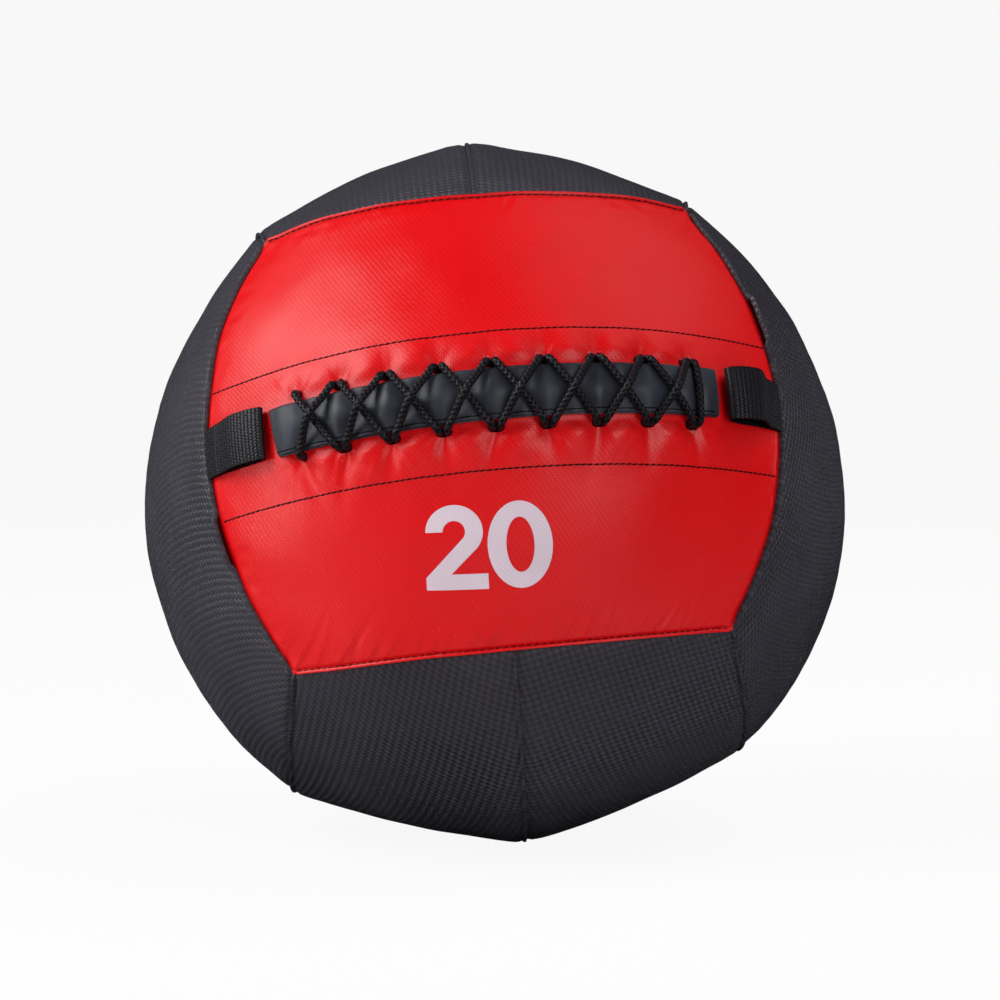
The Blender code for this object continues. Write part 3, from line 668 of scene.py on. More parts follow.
def skin_piece(name, random):
    """A coarse sheet of one panel, ready to simulate, with where its points start and their order."""
    shares = [np.linspace(0, 1, cells + 1) for cells in SKIN_CELLS]
    u, v = np.meshgrid(2 * shares[0] - 1, shares[1], indexing="ij")
    inset = np.minimum((1 - np.abs(u)) * PANEL_LENGTH, np.minimum(v, 1 - v) * PANEL_WIDTH)
    held = inset < SKIN_HELD
    gathered = near(inset, SKIN_GATHER_REACH)
    if name in RED_PANELS:
        along = RED_PANELS[name] * u * PANEL_LENGTH
        past = v * PANEL_WIDTH - HOLE_ROW_UP
        column = np.rint(along / HOLE_PITCH)
        laced = np.abs(column) <= HOLE_COLUMNS // 2
        held |= laced & (np.hypot(along - column * HOLE_PITCH, past) < SKIN_HELD_AT_HOLE)
        gathered = np.maximum(gathered * smooth(v * 3), near(past, SKIN_GATHER_AT_HOLES) * laced)
    start = panel_point(name, u, v)
    unsettled = random.uniform(-SKIN_START, SKIN_START, held.shape) * ~held
    places = start + unit(start - BALL_CENTRE) * unsettled[..., None]
    numbers = np.arange(held.size).reshape(held.shape)
    mesh = sheet_mesh("skin_" + name, places, np.stack((u, v), axis=-1), numbers)
    item = new_object("skin_" + name, mesh)
    order = np.empty(held.size, np.float32)
    item.data.attributes[RELIEF].data.foreach_get("value", order)
    order = np.rint(order).astype(int)
    pins = item.vertex_groups.new(name=SKIN_PINNED)
    pins.add(np.flatnonzero(held.ravel()[order]).tolist(), 1.0, "REPLACE")
    plain = item.vertex_groups.new(name=SKIN_PLAIN)
    for point, share in enumerate(1 - gathered.ravel()[order]):
        plain.add([point], share, "REPLACE")
    cloth = item.modifiers.new("cloth", "CLOTH")
    for field, value in SKIN_SETTINGS.items():
        setattr(cloth.settings, field, value)
    cloth.settings.effector_weights.gravity = 0
    cloth.collision_settings.use_collision = False
    cloth.point_cache.frame_start, cloth.point_cache.frame_end = 1, SKIN_FRAMES
    return item, start, order


def simulate_skins(scene):
    """Let the cloth of all the panels settle, and keep how far each point moves in or out."""
    random = np.random.default_rng(11)
    pieces = {name: skin_piece(name, random) for name in PANELS}
    for number in range(1, SKIN_FRAMES + 1):
        scene.frame_set(number)
    shown_in = bpy.context.evaluated_depsgraph_get()
    for name, (item, start, order) in pieces.items():
        found = np.empty(start.size, np.float32)
        item.evaluated_get(shown_in).data.vertices.foreach_get("co", found)
        settled_at = np.empty((len(order), 3))
        settled_at[order] = found.reshape(-1, 3)
        moved = settled_at.reshape(start.shape) - start
        rise = (moved * unit(start - BALL_CENTRE)).sum(axis=-1)
        SETTLED[name] = np.clip(rise, -SKIN_CAP, SKIN_CAP)
        mesh = item.data
        bpy.data.objects.remove(item)
        bpy.data.meshes.remove(mesh)
    scene.frame_set(1)


def spline_weights(share):
    """Weights of the four points about a share of a cell, for a smooth curve through a row."""
    return ((1 - share) ** 3 / 6, (3 * share ** 3 - 6 * share ** 2 + 4) / 6,
            (3 * (share + share ** 2 - share ** 3) + 1) / 6, share ** 3 / 6)


def skin_settling(name, u, v):
    """How far the simulated cloth stands in or out at shares of a panel."""
    if name not in SETTLED:
        return 0
    padded = np.pad(SETTLED[name], 1, mode="edge")
    x = np.clip((u + 1) / 2, 0, 1) * SKIN_CELLS[0]
    y = np.clip(v, 0, 1) * SKIN_CELLS[1]
    column = np.minimum(x.astype(int), SKIN_CELLS[0] - 1)
    row = np.minimum(y.astype(int), SKIN_CELLS[1] - 1)
    rise = 0
    for right, weight in enumerate(spline_weights(x - column)):
        for up, other in enumerate(spline_weights(y - row)):
            rise = rise + weight * other * padded[column + right, row + up]
    return rise


# Lace route, in the closure's own lengths: along, up and lift

def lace_corners():
    """The lace's corners: out to the right under, a bar, and back over."""
    top = HOLE_ROW_UP
    first = column_along(1) + PASS_OFFSET
    corners = [(first, top, LACE_END_LIFT)]
    for column in range(1, HOLE_COLUMNS):
        here, there = column_along(column) + PASS_OFFSET, column_along(column + 1)
        corners += [(here, top, STRAND_LIFT), (there - PASS_OFFSET, -top, STRAND_LIFT),
                    (there - PASS_OFFSET, -top, FIRST_BAR_LIFT), (there + PASS_OFFSET, top, FIRST_BAR_LIFT)]
    last = column_along(HOLE_COLUMNS) + PASS_OFFSET
    corners += [(last, top, STRAND_LIFT), (last, -top, STRAND_LIFT)]
    for column in range(HOLE_COLUMNS, 1, -1):
        here, there = column_along(column), column_along(column - 1)
        corners += [(here + PASS_OFFSET, -top, SECOND_BAR_LIFT), (here - PASS_OFFSET, top, SECOND_BAR_LIFT),
                    (here - PASS_OFFSET, top, STRAND_LIFT), (there + PASS_OFFSET, -top, STRAND_LIFT)]
    corners.append((first, -top, LACE_END_LIFT))
    return [Vector(corner) for corner in corners]


def rounded_corner(before, corner, after, steps=6):
    """Points of the bend at a corner."""
    back, ahead = (before - corner).normalized(), (after - corner).normalized()
    centre = corner + (back + ahead) * LACE_BEND
    angles = [pi / 2 * step / steps for step in range(steps + 1)]
    return [centre - (ahead * cos(angle) + back * sin(angle)) * LACE_BEND for angle in angles]


def strand_points(start, end, rise, steps=24):
    """Points between two bends of a strand that lies outside, humped where it crosses over."""
    points = []
    for step in range(1, steps):
        point = start.lerp(end, step / steps)
        point.z += rise * sin(pi * step / steps) ** 2
        points.append(point)
    return points


def lace_route():
    """The whole route of the lace."""
    corners = lace_corners()
    bar_start = 4 * (HOLE_COLUMNS - 1) + 1
    route = [corners[0]]
    for index in range(1, len(corners) - 1):
        bend = rounded_corner(*corners[index - 1:index + 2])
        if corners[index].z > 0 and corners[index - 1].z > 0:
            rise = CROSSING_RISE if index > bar_start + 1 else 0.0
            route += strand_points(route[-1], bend[0], rise)
        route += bend
    route.append(corners[-1])
    return np.array([tuple(point) for point in route])


def clear_of_strands(along, up, reach):
    """How clear places on the flap are of the strands over it, from 0 under one to 1 between them."""
    top = HOLE_ROW_UP
    last = column_along(HOLE_COLUMNS) + PASS_OFFSET
    ends = [((last, top), (last, -top))]
    for column in range(1, HOLE_COLUMNS):
        here, there = column_along(column) + PASS_OFFSET, column_along(column + 1) - PASS_OFFSET
        ends += [((here, top), (there, -top)), ((there, top), (here, -top))]
    clear = np.ones(np.broadcast(along, up).shape)
    for start, end in np.array(ends):
        way = end - start
        share = np.clip(((along - start[0]) * way[0] + (up - start[1]) * way[1]) / way.dot(way), 0, 1)
        past = np.hypot(along - start[0] - share * way[0], up - start[1] - share * way[1])
        clear *= 1 - near(past, reach)
    return clear


# Cord and thread

CORD_SIDES = 24
BRAID_RIDGES = 3
BRAID_PITCH = 8.4 * MM
BRAID_CORE = 1.05 * MM
BRAID_RELIEF = 0.95 * MM
BRAID_HALF_WIDE, BRAID_HALF_LONG = 0.5, 0.85
OUTSIDE_STEP, INSIDE_STEP = 0.36 * MM, 2.2 * MM

STITCHES_AT_ONCE = 20
STITCH_SLANT = 0.12

# Rows of stitches: width of the thread, and the share of it that sinks in
RED_ROW, BLACK_ROW, HEM_ROW = {"width": 1.2}, {"width": 0.6, "sunk": 0.5}, {"width": 1.5}
ROW_POINTS, ROW_PAST_ENDS = 120, 3.6 * MM


def braid_height(turn, length):
    """Relief of a braided cord, from the turn about it and the length along it."""
    relief = np.zeros(np.broadcast(turn, length).shape)
    first = BRAID_RIDGES * (turn / tau - length / BRAID_PITCH)
    second = BRAID_RIDGES * (turn / tau + length / BRAID_PITCH)
    for own, other, start in ((first, second, 1), (second, first, 0)):
        row = np.rint(own)
        crossing = 2 * np.rint((other - row - start) / 2) + row + start
        dome = 1 - ((own - row) / BRAID_HALF_WIDE) ** 2 - ((other - crossing) / BRAID_HALF_LONG) ** 2
        relief = np.maximum(relief, np.sqrt(np.clip(dome, 0, 1)))
    return relief


def frames_along(points):
    """Two directions square to a row of points at each, carried along it without twist."""
    tangents = unit(np.gradient(points, axis=0))
    side = unit(np.cross(tangents[0], X_AXIS + 0.3 * Z_AXIS))
    sides = []
    for tangent in tangents:
        side = side - tangent * side.dot(tangent)
        side = side / np.linalg.norm(side)
        sides.append(side)
    sides = np.array(sides)
    return sides, np.cross(tangents, sides)


def cord_places(points, lengths):
    """Rings of a braided cord about a row of points, pointed at both ends, with their relief."""
    sides, ups = frames_along(points)
    turns = np.linspace(0, tau, CORD_SIDES + 1)
    relief = braid_height(turns[None, :], lengths[:, None])
    relief[:, -1] = relief[:, 0]
    radius = BRAID_CORE + BRAID_RELIEF * relief
    radius[[0, -1]] = 0
    ring = sides[:, None] * np.cos(turns)[None, :, None] + ups[:, None] * np.sin(turns)[None, :, None]
    ring[:, -1] = ring[:, 0]
    return points[:, None] + ring * radius[..., None], relief


def weld(mesh):
    """Merge a mesh's doubled vertices."""
    bm = bmesh.new()
    bm.from_mesh(mesh)
    bmesh.ops.remove_doubles(bm, verts=bm.verts[:], dist=WELD_DISTANCE)
    bm.to_mesh(mesh)
    bm.free()


def surface_tree(item):
    """A finder of places on an object's mesh, which sits at the origin."""
    bm = bmesh.new()
    bm.from_mesh(item.data)
    tree = BVHTree.FromBMesh(bm)
    bm.free()
    return tree


def add_bead(bm, half_axes, place, segments, rings):
    """A long bead of thread at a place, with its three half-axes."""
    turn = Matrix(half_axes).transposed().to_4x4()
    turn.translation = place
    bmesh.ops.create_uvsphere(bm, u_segments=segments, v_segments=rings, radius=1, matrix=turn)


def add_stitches(bm, tree, points, sewing, pitch=None, width=1.0, sunk=0.0):
    """Sew a row of stitches along points that lie close over a surface, sunk by a share of their width."""
    lengths = arc_lengths(points)
    count = max(2, int(lengths[-1] / (pitch or sewing.stitch_pitch)))
    wanted = (np.arange(count) + 0.5) * lengths[-1] / count
    middles = along_points(points, lengths, wanted)
    ahead = along_points(points, lengths, wanted + 0.5 * MM)
    size = sewing.thread_width * width / 2
    row = bpy.data.meshes.new("row")
    for first in range(0, count, STITCHES_AT_ONCE):
        few = bmesh.new()
        for middle, next_place in zip(middles[first:first + STITCHES_AT_ONCE], ahead[first:]):
            place, out, _, _ = tree.find_nearest(Vector(middle))
            way = Vector(next_place - middle)
            way = (way - out * way.dot(out)).normalized()
            way = (way + STITCH_SLANT * out.cross(way)).normalized()
            place -= out * size * sunk
            place.z = max(place.z, size)
            half_axes = (out.cross(way) * size, out * size, way * sewing.stitch_length / 2)
            add_bead(few, half_axes, place, segments=6, rings=5)
        few.to_mesh(row)
        few.free()
        bm.from_mesh(row)
    bpy.data.meshes.remove(row)


# Materials

FINISH = "_finish"
DIAMOND_PITCH = 3.4 * MM
DIAMOND_THREADS = 3.0
WEAVE_PITCH = 1.75 * MM
THREAD_FIBRE, LACE_FIBRE, WEBBING_FIBRE, LINT_FIBRE = 0.35 * MM, 0.5 * MM, 0.45 * MM, 0.4 * MM


class Nodes:
    """Places nodes in a tree and feeds them."""

    def __init__(self, tree):
        self.tree = tree

    def feed(self, socket, value):
        """Link a socket to another, or set its value."""
        if isinstance(value, bpy.types.NodeSocket):
            self.tree.links.new(value, socket)
        else:
            socket.default_value = value

    def add(self, kind, *values, named=None, **fields):
        """Add a node, set its fields, and feed its inputs in order and by name."""
        node = self.tree.nodes.new("ShaderNode" + kind)
        for field, value in fields.items():
            setattr(node, field, value)
        for socket, value in zip(node.inputs, values):
            self.feed(socket, value)
        for title, value in (named or {}).items():
            self.feed(node.inputs[title], value)
        return node

    def math(self, operation, *values):
        """A number worked out from others."""
        return self.add("Math", *values, operation=operation).outputs[0]

    def wave(self, turns):
        """A cosine of a number of whole turns."""
        return self.math("COSINE", self.math("MULTIPLY", turns, tau))

    def ease(self, value, low, high, to_low=0.0, to_high=1.0):
        """A value eased from one range to another."""
        node = self.add("MapRange", value, low, high, to_low, to_high, interpolation_type="SMOOTHSTEP")
        return node.outputs[0]

    def blend(self, share, low, high):
        """A colour between two."""
        node = self.add("Mix", data_type="RGBA")
        for number, value in zip((0, 6, 7), (share, low, high)):
            self.feed(node.inputs[number], value)
        return node.outputs[2]

    def bump(self, height, strength, distance):
        """A normal from a height."""
        named = {"Height": height, "Strength": strength, "Distance": distance}
        return self.add("Bump", named=named).outputs[0]

    def noise(self, place, scale, detail=2.0):
        """A noise between 0 and 1."""
        return self.add("TexNoise", named={"Vector": place, "Scale": scale, "Detail": detail}).outputs[0]

    def over_size(self, place, size):
        """A place's two cloth lengths, each over the size."""
        parts = self.add("SeparateXYZ", place).outputs
        return [self.math("DIVIDE", parts[axis], size) for axis in (0, 1)]


def diamond_emboss(nodes, place, pitch):
    """Light and dark diamond cells in turn, each with threads its own way; the light cells stand partly for
    a painted sheen on raised cells.
    """
    x, y = nodes.over_size(place, pitch)
    cells = nodes.math("ADD", nodes.wave(x), nodes.wave(y))
    shade = nodes.ease(cells, -0.45, 0.45)
    rising = nodes.math("MULTIPLY", nodes.math("ADD", x, y), DIAMOND_THREADS)
    falling = nodes.math("MULTIPLY", nodes.math("SUBTRACT", x, y), DIAMOND_THREADS)
    either = nodes.add("Mix", shade, data_type="FLOAT")
    nodes.feed(either.inputs[2], nodes.wave(rising))
    nodes.feed(either.inputs[3], nodes.wave(falling))
    threads = either.outputs[0]
    dome = nodes.math("MULTIPLY", nodes.math("ABSOLUTE", cells), 0.3)
    raised = nodes.math("MULTIPLY_ADD", shade, 0.3, dome)
    return (nodes.math("MULTIPLY_ADD", threads, 0.07, raised),
            nodes.math("MULTIPLY_ADD", threads, 0.1, shade))


def diagonal_weave(nodes, place, pitch):
    """A fine plain weave laid at 45 degrees under a smooth skin."""
    x, y = nodes.over_size(place, pitch)
    rising = nodes.math("MULTIPLY", nodes.math("ADD", x, y), cos(pi / 4))
    falling = nodes.math("MULTIPLY", nodes.math("SUBTRACT", x, y), cos(pi / 4))
    first, second = nodes.wave(rising), nodes.wave(falling)
    crossed = nodes.math("MULTIPLY", first, second)
    ribs = nodes.math("MULTIPLY_ADD", first, 0.35, nodes.math("MULTIPLY", second, 0.2))
    return (nodes.math("MULTIPLY_ADD", crossed, 0.45, ribs),)


def wear(nodes, place, scale):
    """Broad mottling, and fine specks of dust and lint."""
    fine = nodes.noise(place, nodes.math("MULTIPLY", scale, 70.0), 1.0)
    return nodes.noise(place, scale, 4.0), nodes.ease(fine, 0.70, 0.80)


def fibres(nodes, place, size):
    """Fine fibres and lint of a spun or felted thing."""
    over = nodes.math("DIVIDE", 1.0, size)
    place = nodes.add("VectorMath", place, operation="SCALE", named={"Scale": over}).outputs[0]
    fine = nodes.math("MULTIPLY", nodes.noise(place, 5.0, 2.0), 0.4)
    height = nodes.math("MULTIPLY_ADD", nodes.noise(place, 1.3, 3.0), 0.6, fine)
    return height, nodes.ease(nodes.noise(place, 3.1, 1.0), 0.66, 0.78)


# Shared effects: the name of their size and what it starts at, then what they put out
EFFECTS = {
    diamond_emboss: ("Pitch", DIAMOND_PITCH, "Height", "Shade"),
    diagonal_weave: ("Pitch", WEAVE_PITCH, "Height"),
    wear: ("Scale", 12.0, "Mottle", "Specks"),
    fibres: ("Size", 1 * MM, "Height", "Lint"),
}


def effect_group(build):
    """The node group of a shared effect, built when it is first asked for."""
    tree = bpy.data.node_groups.get(build.__name__)
    if tree:
        return tree
    size_name, size, *outputs = EFFECTS[build]
    tree = bpy.data.node_groups.new(build.__name__, "ShaderNodeTree")
    tree.interface.new_socket("Place", in_out="INPUT", socket_type="NodeSocketVector")
    tree.interface.new_socket(size_name, in_out="INPUT", socket_type="NodeSocketFloat").default_value = size
    for title in outputs:
        tree.interface.new_socket(title, in_out="OUTPUT", socket_type="NodeSocketFloat")
    nodes = Nodes(tree)
    given = tree.nodes.new("NodeGroupInput").outputs
    taken = tree.nodes.new("NodeGroupOutput").inputs
    for socket, value in zip(taken, build(nodes, given[0], given[1])):
        nodes.feed(socket, value)
    return tree


def scaled(colour, *shares):
    """A colour made darker or lighter, channel by channel where there are three shares."""
    shares = shares * 3 if len(shares) == 1 else shares
    return (*[min(1.0, part * share) for part, share in zip(colour, shares)], 1)


class Finish(Nodes):
    """A material being made."""

    def __init__(self, name):
        self.material = bpy.data.materials.new(name + FINISH)
        self.material.use_nodes = True
        super().__init__(self.material.node_tree)
        self.place = self.add("TexCoord").outputs["Object"]

    def effect(self, build, size, place=None):
        """What a shared effect puts out, at the object's coordinates unless told otherwise."""
        return self.add("Group", node_tree=effect_group(build), named={
            "Place": place or self.place, EFFECTS[build][0]: size}).outputs

    def cloth(self):
        """The coordinates of the flat cloth."""
        return self.add("UVMap", uv_map=CLOTH_UV).outputs[0]

    def mottled(self, mottle, low, high):
        """A value that wanders between two with the mottling."""
        return self.ease(mottle, 0.3, 0.7, low, high)

    def flecked(self, flecks, share, under, colour):
        """A colour with flecks of another over it."""
        return self.blend(self.math("MULTIPLY", flecks, share), under, colour)

    def done(self, colour, rough, normal, specular=0.5):
        """Feed the shader and hand over the material."""
        shader = self.tree.nodes["Principled BSDF"].inputs
        self.feed(shader["Base Color"], colour)
        self.feed(shader["Roughness"], rough)
        self.feed(shader["Normal"], normal)
        shader["Specular IOR Level"].default_value = specular
        return self.material


def finish_once(make, name, *values):
    """A finish, made when it is first asked for."""
    return bpy.data.materials.get(name + FINISH) or make(name, *values)


def checkered_vinyl(name, colour):
    """Black coated cloth embossed with small diamonds, light and dark partly in its own two tones and
    partly as a painted sheen of the raised cells, which shows most where it is seen aslant.
    """
    finish = Finish(name)
    height, shade = finish.effect(diamond_emboss, DIAMOND_PITCH, finish.cloth())
    mottle, specks = finish.effect(wear, 11.0)
    # Painted sheen: the light and dark of the cells grow stronger where the cloth is seen aslant, standing
    # in for light off the raised cells.
    clear = finish.ease(finish.add("LayerWeight").outputs["Facing"], 0.2, 0.75, 0.5, 2.0)
    shade = finish.math("MULTIPLY_ADD", finish.math("SUBTRACT", shade, 0.5), clear, 0.5)
    # The cells' colour: the cloth's two tones, with a painted sheen on the light cells.
    cells = finish.blend(shade, scaled(colour, 0.33), scaled(colour, 1.3))
    worn = finish.blend(finish.ease(mottle, 0.35, 0.75, 0.0, 0.3), cells, scaled(colour, 1.5))
    rough = finish.math("MULTIPLY_ADD", shade, -0.33, finish.mottled(mottle, 0.62, 0.72))
    return finish.done(finish.flecked(specks, 0.25, worn, scaled(colour, 5)), rough,
                       finish.bump(height, 0.9, 0.5 * MM))


def woven_vinyl(name, colour):
    """Red coated cloth whose weave shows faintly through its skin, its hollows darkened as painted shade.
    """
    finish = Finish(name)
    weave = finish.effect(diagonal_weave, WEAVE_PITCH, finish.cloth())[0]
    mottle, specks = finish.effect(wear, 9.0)
    paler = scaled(colour, 1.04, 2.0, 1.8)
    toned = finish.blend(finish.ease(mottle, 0.3, 0.75), scaled(colour, 0.95), paler)
    # Painted shade: the weave's hollows are darkened.
    weave_shaded = finish.blend(finish.ease(weave, -0.8, 0.9), scaled(colour, 0.9, 0.5, 0.5), toned)
    height = finish.math("MULTIPLY_ADD", finish.noise(finish.place, 900.0, 1.0), 0.25, weave)
    return finish.done(finish.flecked(specks, 0.08, weave_shaded, (0.9, 0.35, 0.3, 1)),
                       finish.mottled(mottle, 0.30, 0.40), finish.bump(height, 0.35, 0.12 * MM), 0.34)


def grained_leatherette(name, colour):
    """Smooth dark leatherette with a fine grain and rubbed high places."""
    finish = Finish(name)
    mottle, specks = finish.effect(wear, 40.0)
    toned = finish.blend(finish.ease(mottle, 0.35, 0.75), scaled(colour, 0.8), scaled(colour, 1.5))
    grain = finish.noise(finish.place, 1400.0, 2.0)
    return finish.done(finish.flecked(specks, 0.2, toned, scaled(colour, 7)),
                       finish.mottled(mottle, 0.42, 0.56), finish.bump(grain, 0.22, 0.2 * MM), 0.4)


def cord_finish(name, colour, fibre):
    """Dull black nylon with stray lint; painted shade darkens it between its strands and a painted
    highlight lightens their raised tops.
    """
    finish = Finish(name)
    relief = finish.add("Attribute", attribute_name=RELIEF).outputs["Fac"]
    height, lint = finish.effect(fibres, fibre)
    raised = finish.math("MULTIPLY_ADD", height, 0.3, relief)
    # Painted shade where the relief is low between the strands, and a painted highlight on their raised
    # tops.
    strands = finish.blend(finish.ease(raised, 0.55, 1.15), scaled(colour, 0.1), scaled(colour, 1.9))
    return finish.done(finish.flecked(lint, 0.3, strands, scaled(colour, 8)),
                       finish.ease(raised, 0.6, 1.1, 0.85, 0.32), finish.bump(height, 0.35, 0.2 * MM), 0.3)


def fibre_finish(name, colour, fibre):
    """Undyed or dark cloth, felt or shot of the pieces inside."""
    finish = Finish(name)
    height, lint = finish.effect(fibres, fibre)
    mottle = finish.effect(wear, 25.0)[0]
    # Painted shade: the cloth is darker where its fibres lie low.
    threads = finish.blend(finish.ease(height, 0.25, 0.75), scaled(colour, 0.6), scaled(colour, 1.15))
    stained = finish.blend(finish.ease(mottle, 0.4, 0.8, 0.0, 0.4), threads, scaled(colour, 0.7))
    return finish.done(finish.flecked(lint, 0.4, stained, scaled(colour, 1.6)),
                       finish.mottled(height, 0.8, 0.95), finish.bump(height, 0.6, fibre / 3))


def printed_ink(name, colour):
    """Pale ink on the red cloth, with the weave showing through it, its hollows darkened as painted shade.
    """
    finish = Finish(name)
    weave = finish.effect(diagonal_weave, WEAVE_PITCH, finish.cloth())[0]
    mottle = finish.effect(wear, 30.0)[0]
    toned = finish.blend(finish.ease(mottle, 0.3, 0.75), scaled(colour, 0.95), scaled(colour, 1.05))
    # Painted shade: the ink is darkened in the weave's hollows.
    weave_shaded = finish.blend(finish.ease(weave, -0.9, 0.6), scaled(colour, 0.93, 0.86, 0.88), toned)
    return finish.done(weave_shaded, finish.mottled(mottle, 0.42, 0.55), finish.bump(weave, 0.3, 0.12 * MM))


def floor_finish(name):
    """A pale floor that is near white to the camera and keeps the ball's shadow."""
    finish = Finish(name)
    mottle = finish.noise(finish.place, 3.0, 2.0)
    plain = finish.tree.nodes["Principled BSDF"]
    grey = finish.blend(mottle, (0.80, 0.80, 0.80, 1), (0.84, 0.84, 0.84, 1))
    finish.feed(plain.inputs["Base Color"], grey)
    plain.inputs["Roughness"].default_value = 0.7
    white = finish.add("Emission", (1, 1, 1, 1), 1.0)
    rays = finish.add("LightPath").outputs
    mirrored = finish.math("MAXIMUM", rays["Is Glossy Ray"], rays["Is Transmission Ray"])
    share = finish.math("MULTIPLY_ADD", rays["Is Camera Ray"], 0.92, finish.math("MULTIPLY", mirrored, 0.1))
    seen = finish.add("MixShader", share, plain.outputs[0], white.outputs[0])
    finish.feed(finish.tree.nodes["Material Output"].inputs["Surface"], seen.outputs[0])
    return finish.material


# Operators

class BallOperator:
    """What all the operators share."""

    bl_options = {"REGISTER", "UNDO"}


class WALLBALL_OT_cover(BallOperator, Operator):
    """Sew the twelve panels of the cover, and cut the lace holes in the two at the front."""

    bl_idname = "wallball.cover"
    bl_label = "Sewn cover"

    def execute(self, context):
        sewing = context.scene.ball_sewing
        colours = context.scene.ball_colours
        black = finish_once(checkered_vinyl, "black_vinyl", colours.black_vinyl)
        red = finish_once(woven_vinyl, "red_vinyl", colours.red_vinyl)
        simulate_skins(context.scene)
        for name, (_, _, lap_split) in PANELS.items():
            step = FINE_CELL if name in RED_PANELS else COARSE_CELL
            split_lines = LIP_LINES if lap_split else UNDER_LINES
            x_offset, x_share = graded_lines(
                UNDER_LINES, UNDER_LINES, PANEL_LENGTH * PANEL_LENGTH_SHARE, step)
            y_offset, y_share = graded_lines(split_lines, LIP_LINES, PANEL_WIDTH, step)
            places, cloth = dressed_panel(
                name, x_offset[:, None], x_share[:, None], y_offset[None], y_share[None], sewing)
            item = new_object("panel_" + name, sheet_mesh("panel_" + name, places, cloth))
            thicken(item, sewing.cloth_thickness)
            if name in RED_PANELS:
                cutter = self.hole_cutter(RED_PANELS[name] * HOLE_ROW_UP)
                cut(item, cutter)
            settle_modifiers(item)
            if name in RED_PANELS:
                bpy.data.objects.remove(cutter)
            finish_piece(item, red if name in RED_PANELS else black, "ball", "cover_" + name)
        return {"FINISHED"}

    @staticmethod
    def hole_cutter(row_up):
        """The oblong holes of one row."""
        bm = bmesh.new()
        radius = LACE_RADIUS + HOLE_CLEARANCE / 3
        for column in range(1, HOLE_COLUMNS + 1):
            hole = bmesh.ops.create_cone(
                bm, cap_ends=True, segments=24, radius1=radius, radius2=radius, depth=4 * FACING_DEPTH)
            for vert in hole["verts"]:
                vert.co.x += PASS_OFFSET if vert.co.x > 0 or column == 1 else -PASS_OFFSET
            frame_there = closure_frame(column_along(column), row_up)
            bmesh.ops.transform(bm, matrix=frame_there, verts=hole["verts"])
        return bmesh_object("hole_cutter", bm)


class WALLBALL_OT_topstitching(BallOperator, Operator):
    """Sew the rows of stitches beside the folds, and the two hem lines on the front."""

    bl_idname = "wallball.topstitching"
    bl_label = "Topstitching"

    def execute(self, context):
        sewing = context.scene.ball_sewing
        thread = finish_once(cord_finish, "thread", context.scene.ball_colours.cord, THREAD_FIBRE)
        share = np.linspace(0, 1, ROW_POINTS)
        past_ends = np.linspace(ROW_PAST_ENDS, -ROW_PAST_ENDS, ROW_POINTS)
        inset = sewing.stitch_inset - LAP
        rows = {}
        for name, (_, _, lap_split) in PANELS.items():
            beside_fold = RED_ROW if name in RED_PANELS else BLACK_ROW
            rows[name] = [(-inset, 1.0, beside_fold)] + ([(inset, 0.0, beside_fold)] if lap_split else [])
        for name, up in HEMS:
            rows[name].append((up, 0.0, dict(HEM_ROW, pitch=0.95 * sewing.stitch_length)))
        black_panels = [name for name in PANELS if name not in RED_PANELS]
        for title, group in (("front", RED_PANELS), ("black", black_panels)):
            bm = bmesh.new()
            for name in group:
                tree = surface_tree(bpy.data.objects["panel_" + name])
                for y_offset, y_share, row in rows[name]:
                    places, _ = dressed_panel(
                        name, past_ends, share, np.array(y_offset), np.array(y_share), sewing)
                    away = unit(places - BALL_CENTRE) * MM
                    add_stitches(bm, tree, places + away, sewing, **row)
            finish_piece(bmesh_object("topstitching_" + title, bm), thread, "ball")
        return {"FINISHED"}


# The flap: its fold, its slanted left end, its puffs between the strands, its creases and its ripple
FLAP_EDGE_LINES = np.array((0, 0.15, 0.4, 0.8, 1.3)) * MM
FLAP_ALONG_CELL, FLAP_ACROSS_CELL = 1.1 * MM, 0.9 * MM
FLAP_FOLD = 1.3 * MM
FLAP_SLANT, FLAP_SLANT_REACH = 3.5 * MM, 12 * MM
FLAP_TILT = (-1.0 * MM, 1.3 * MM)
STRAND_REACH, PUFF_REACH, PUFF_END_REACH = 4.6 * MM, 10 * MM, 9 * MM
PUFF_SHARE_BESIDE, PUFF_SHARE_AT_END = 0.45, 0.35
FLAP_CREASE, FLAP_CREASE_WIDTH, FLAP_CREASE_SLOPE = 0.3 * MM, 2.6 * MM, 9
RIPPLE, RIPPLE_ALONG, RIPPLE_ACROSS, RIPPLE_DRIFT = 0.16 * MM, 5.3 * MM, 5.9 * MM, 17 * MM
UPPER_LAYER_SHARE = 0.6
UNDER_LAYER_LIFT, UNDER_LAYER_SHOWS = 1.0 * MM, 0.7 * MM
FLAP_ROW_INSET, FLAP_ROW_ENDS, FLAP_ROW_OVER = 1.3 * MM, 2 * MM, 2 * MM
FLAP_ROW_PITCH, FLAP_ROW_POINTS = 2.6 * MM, 200


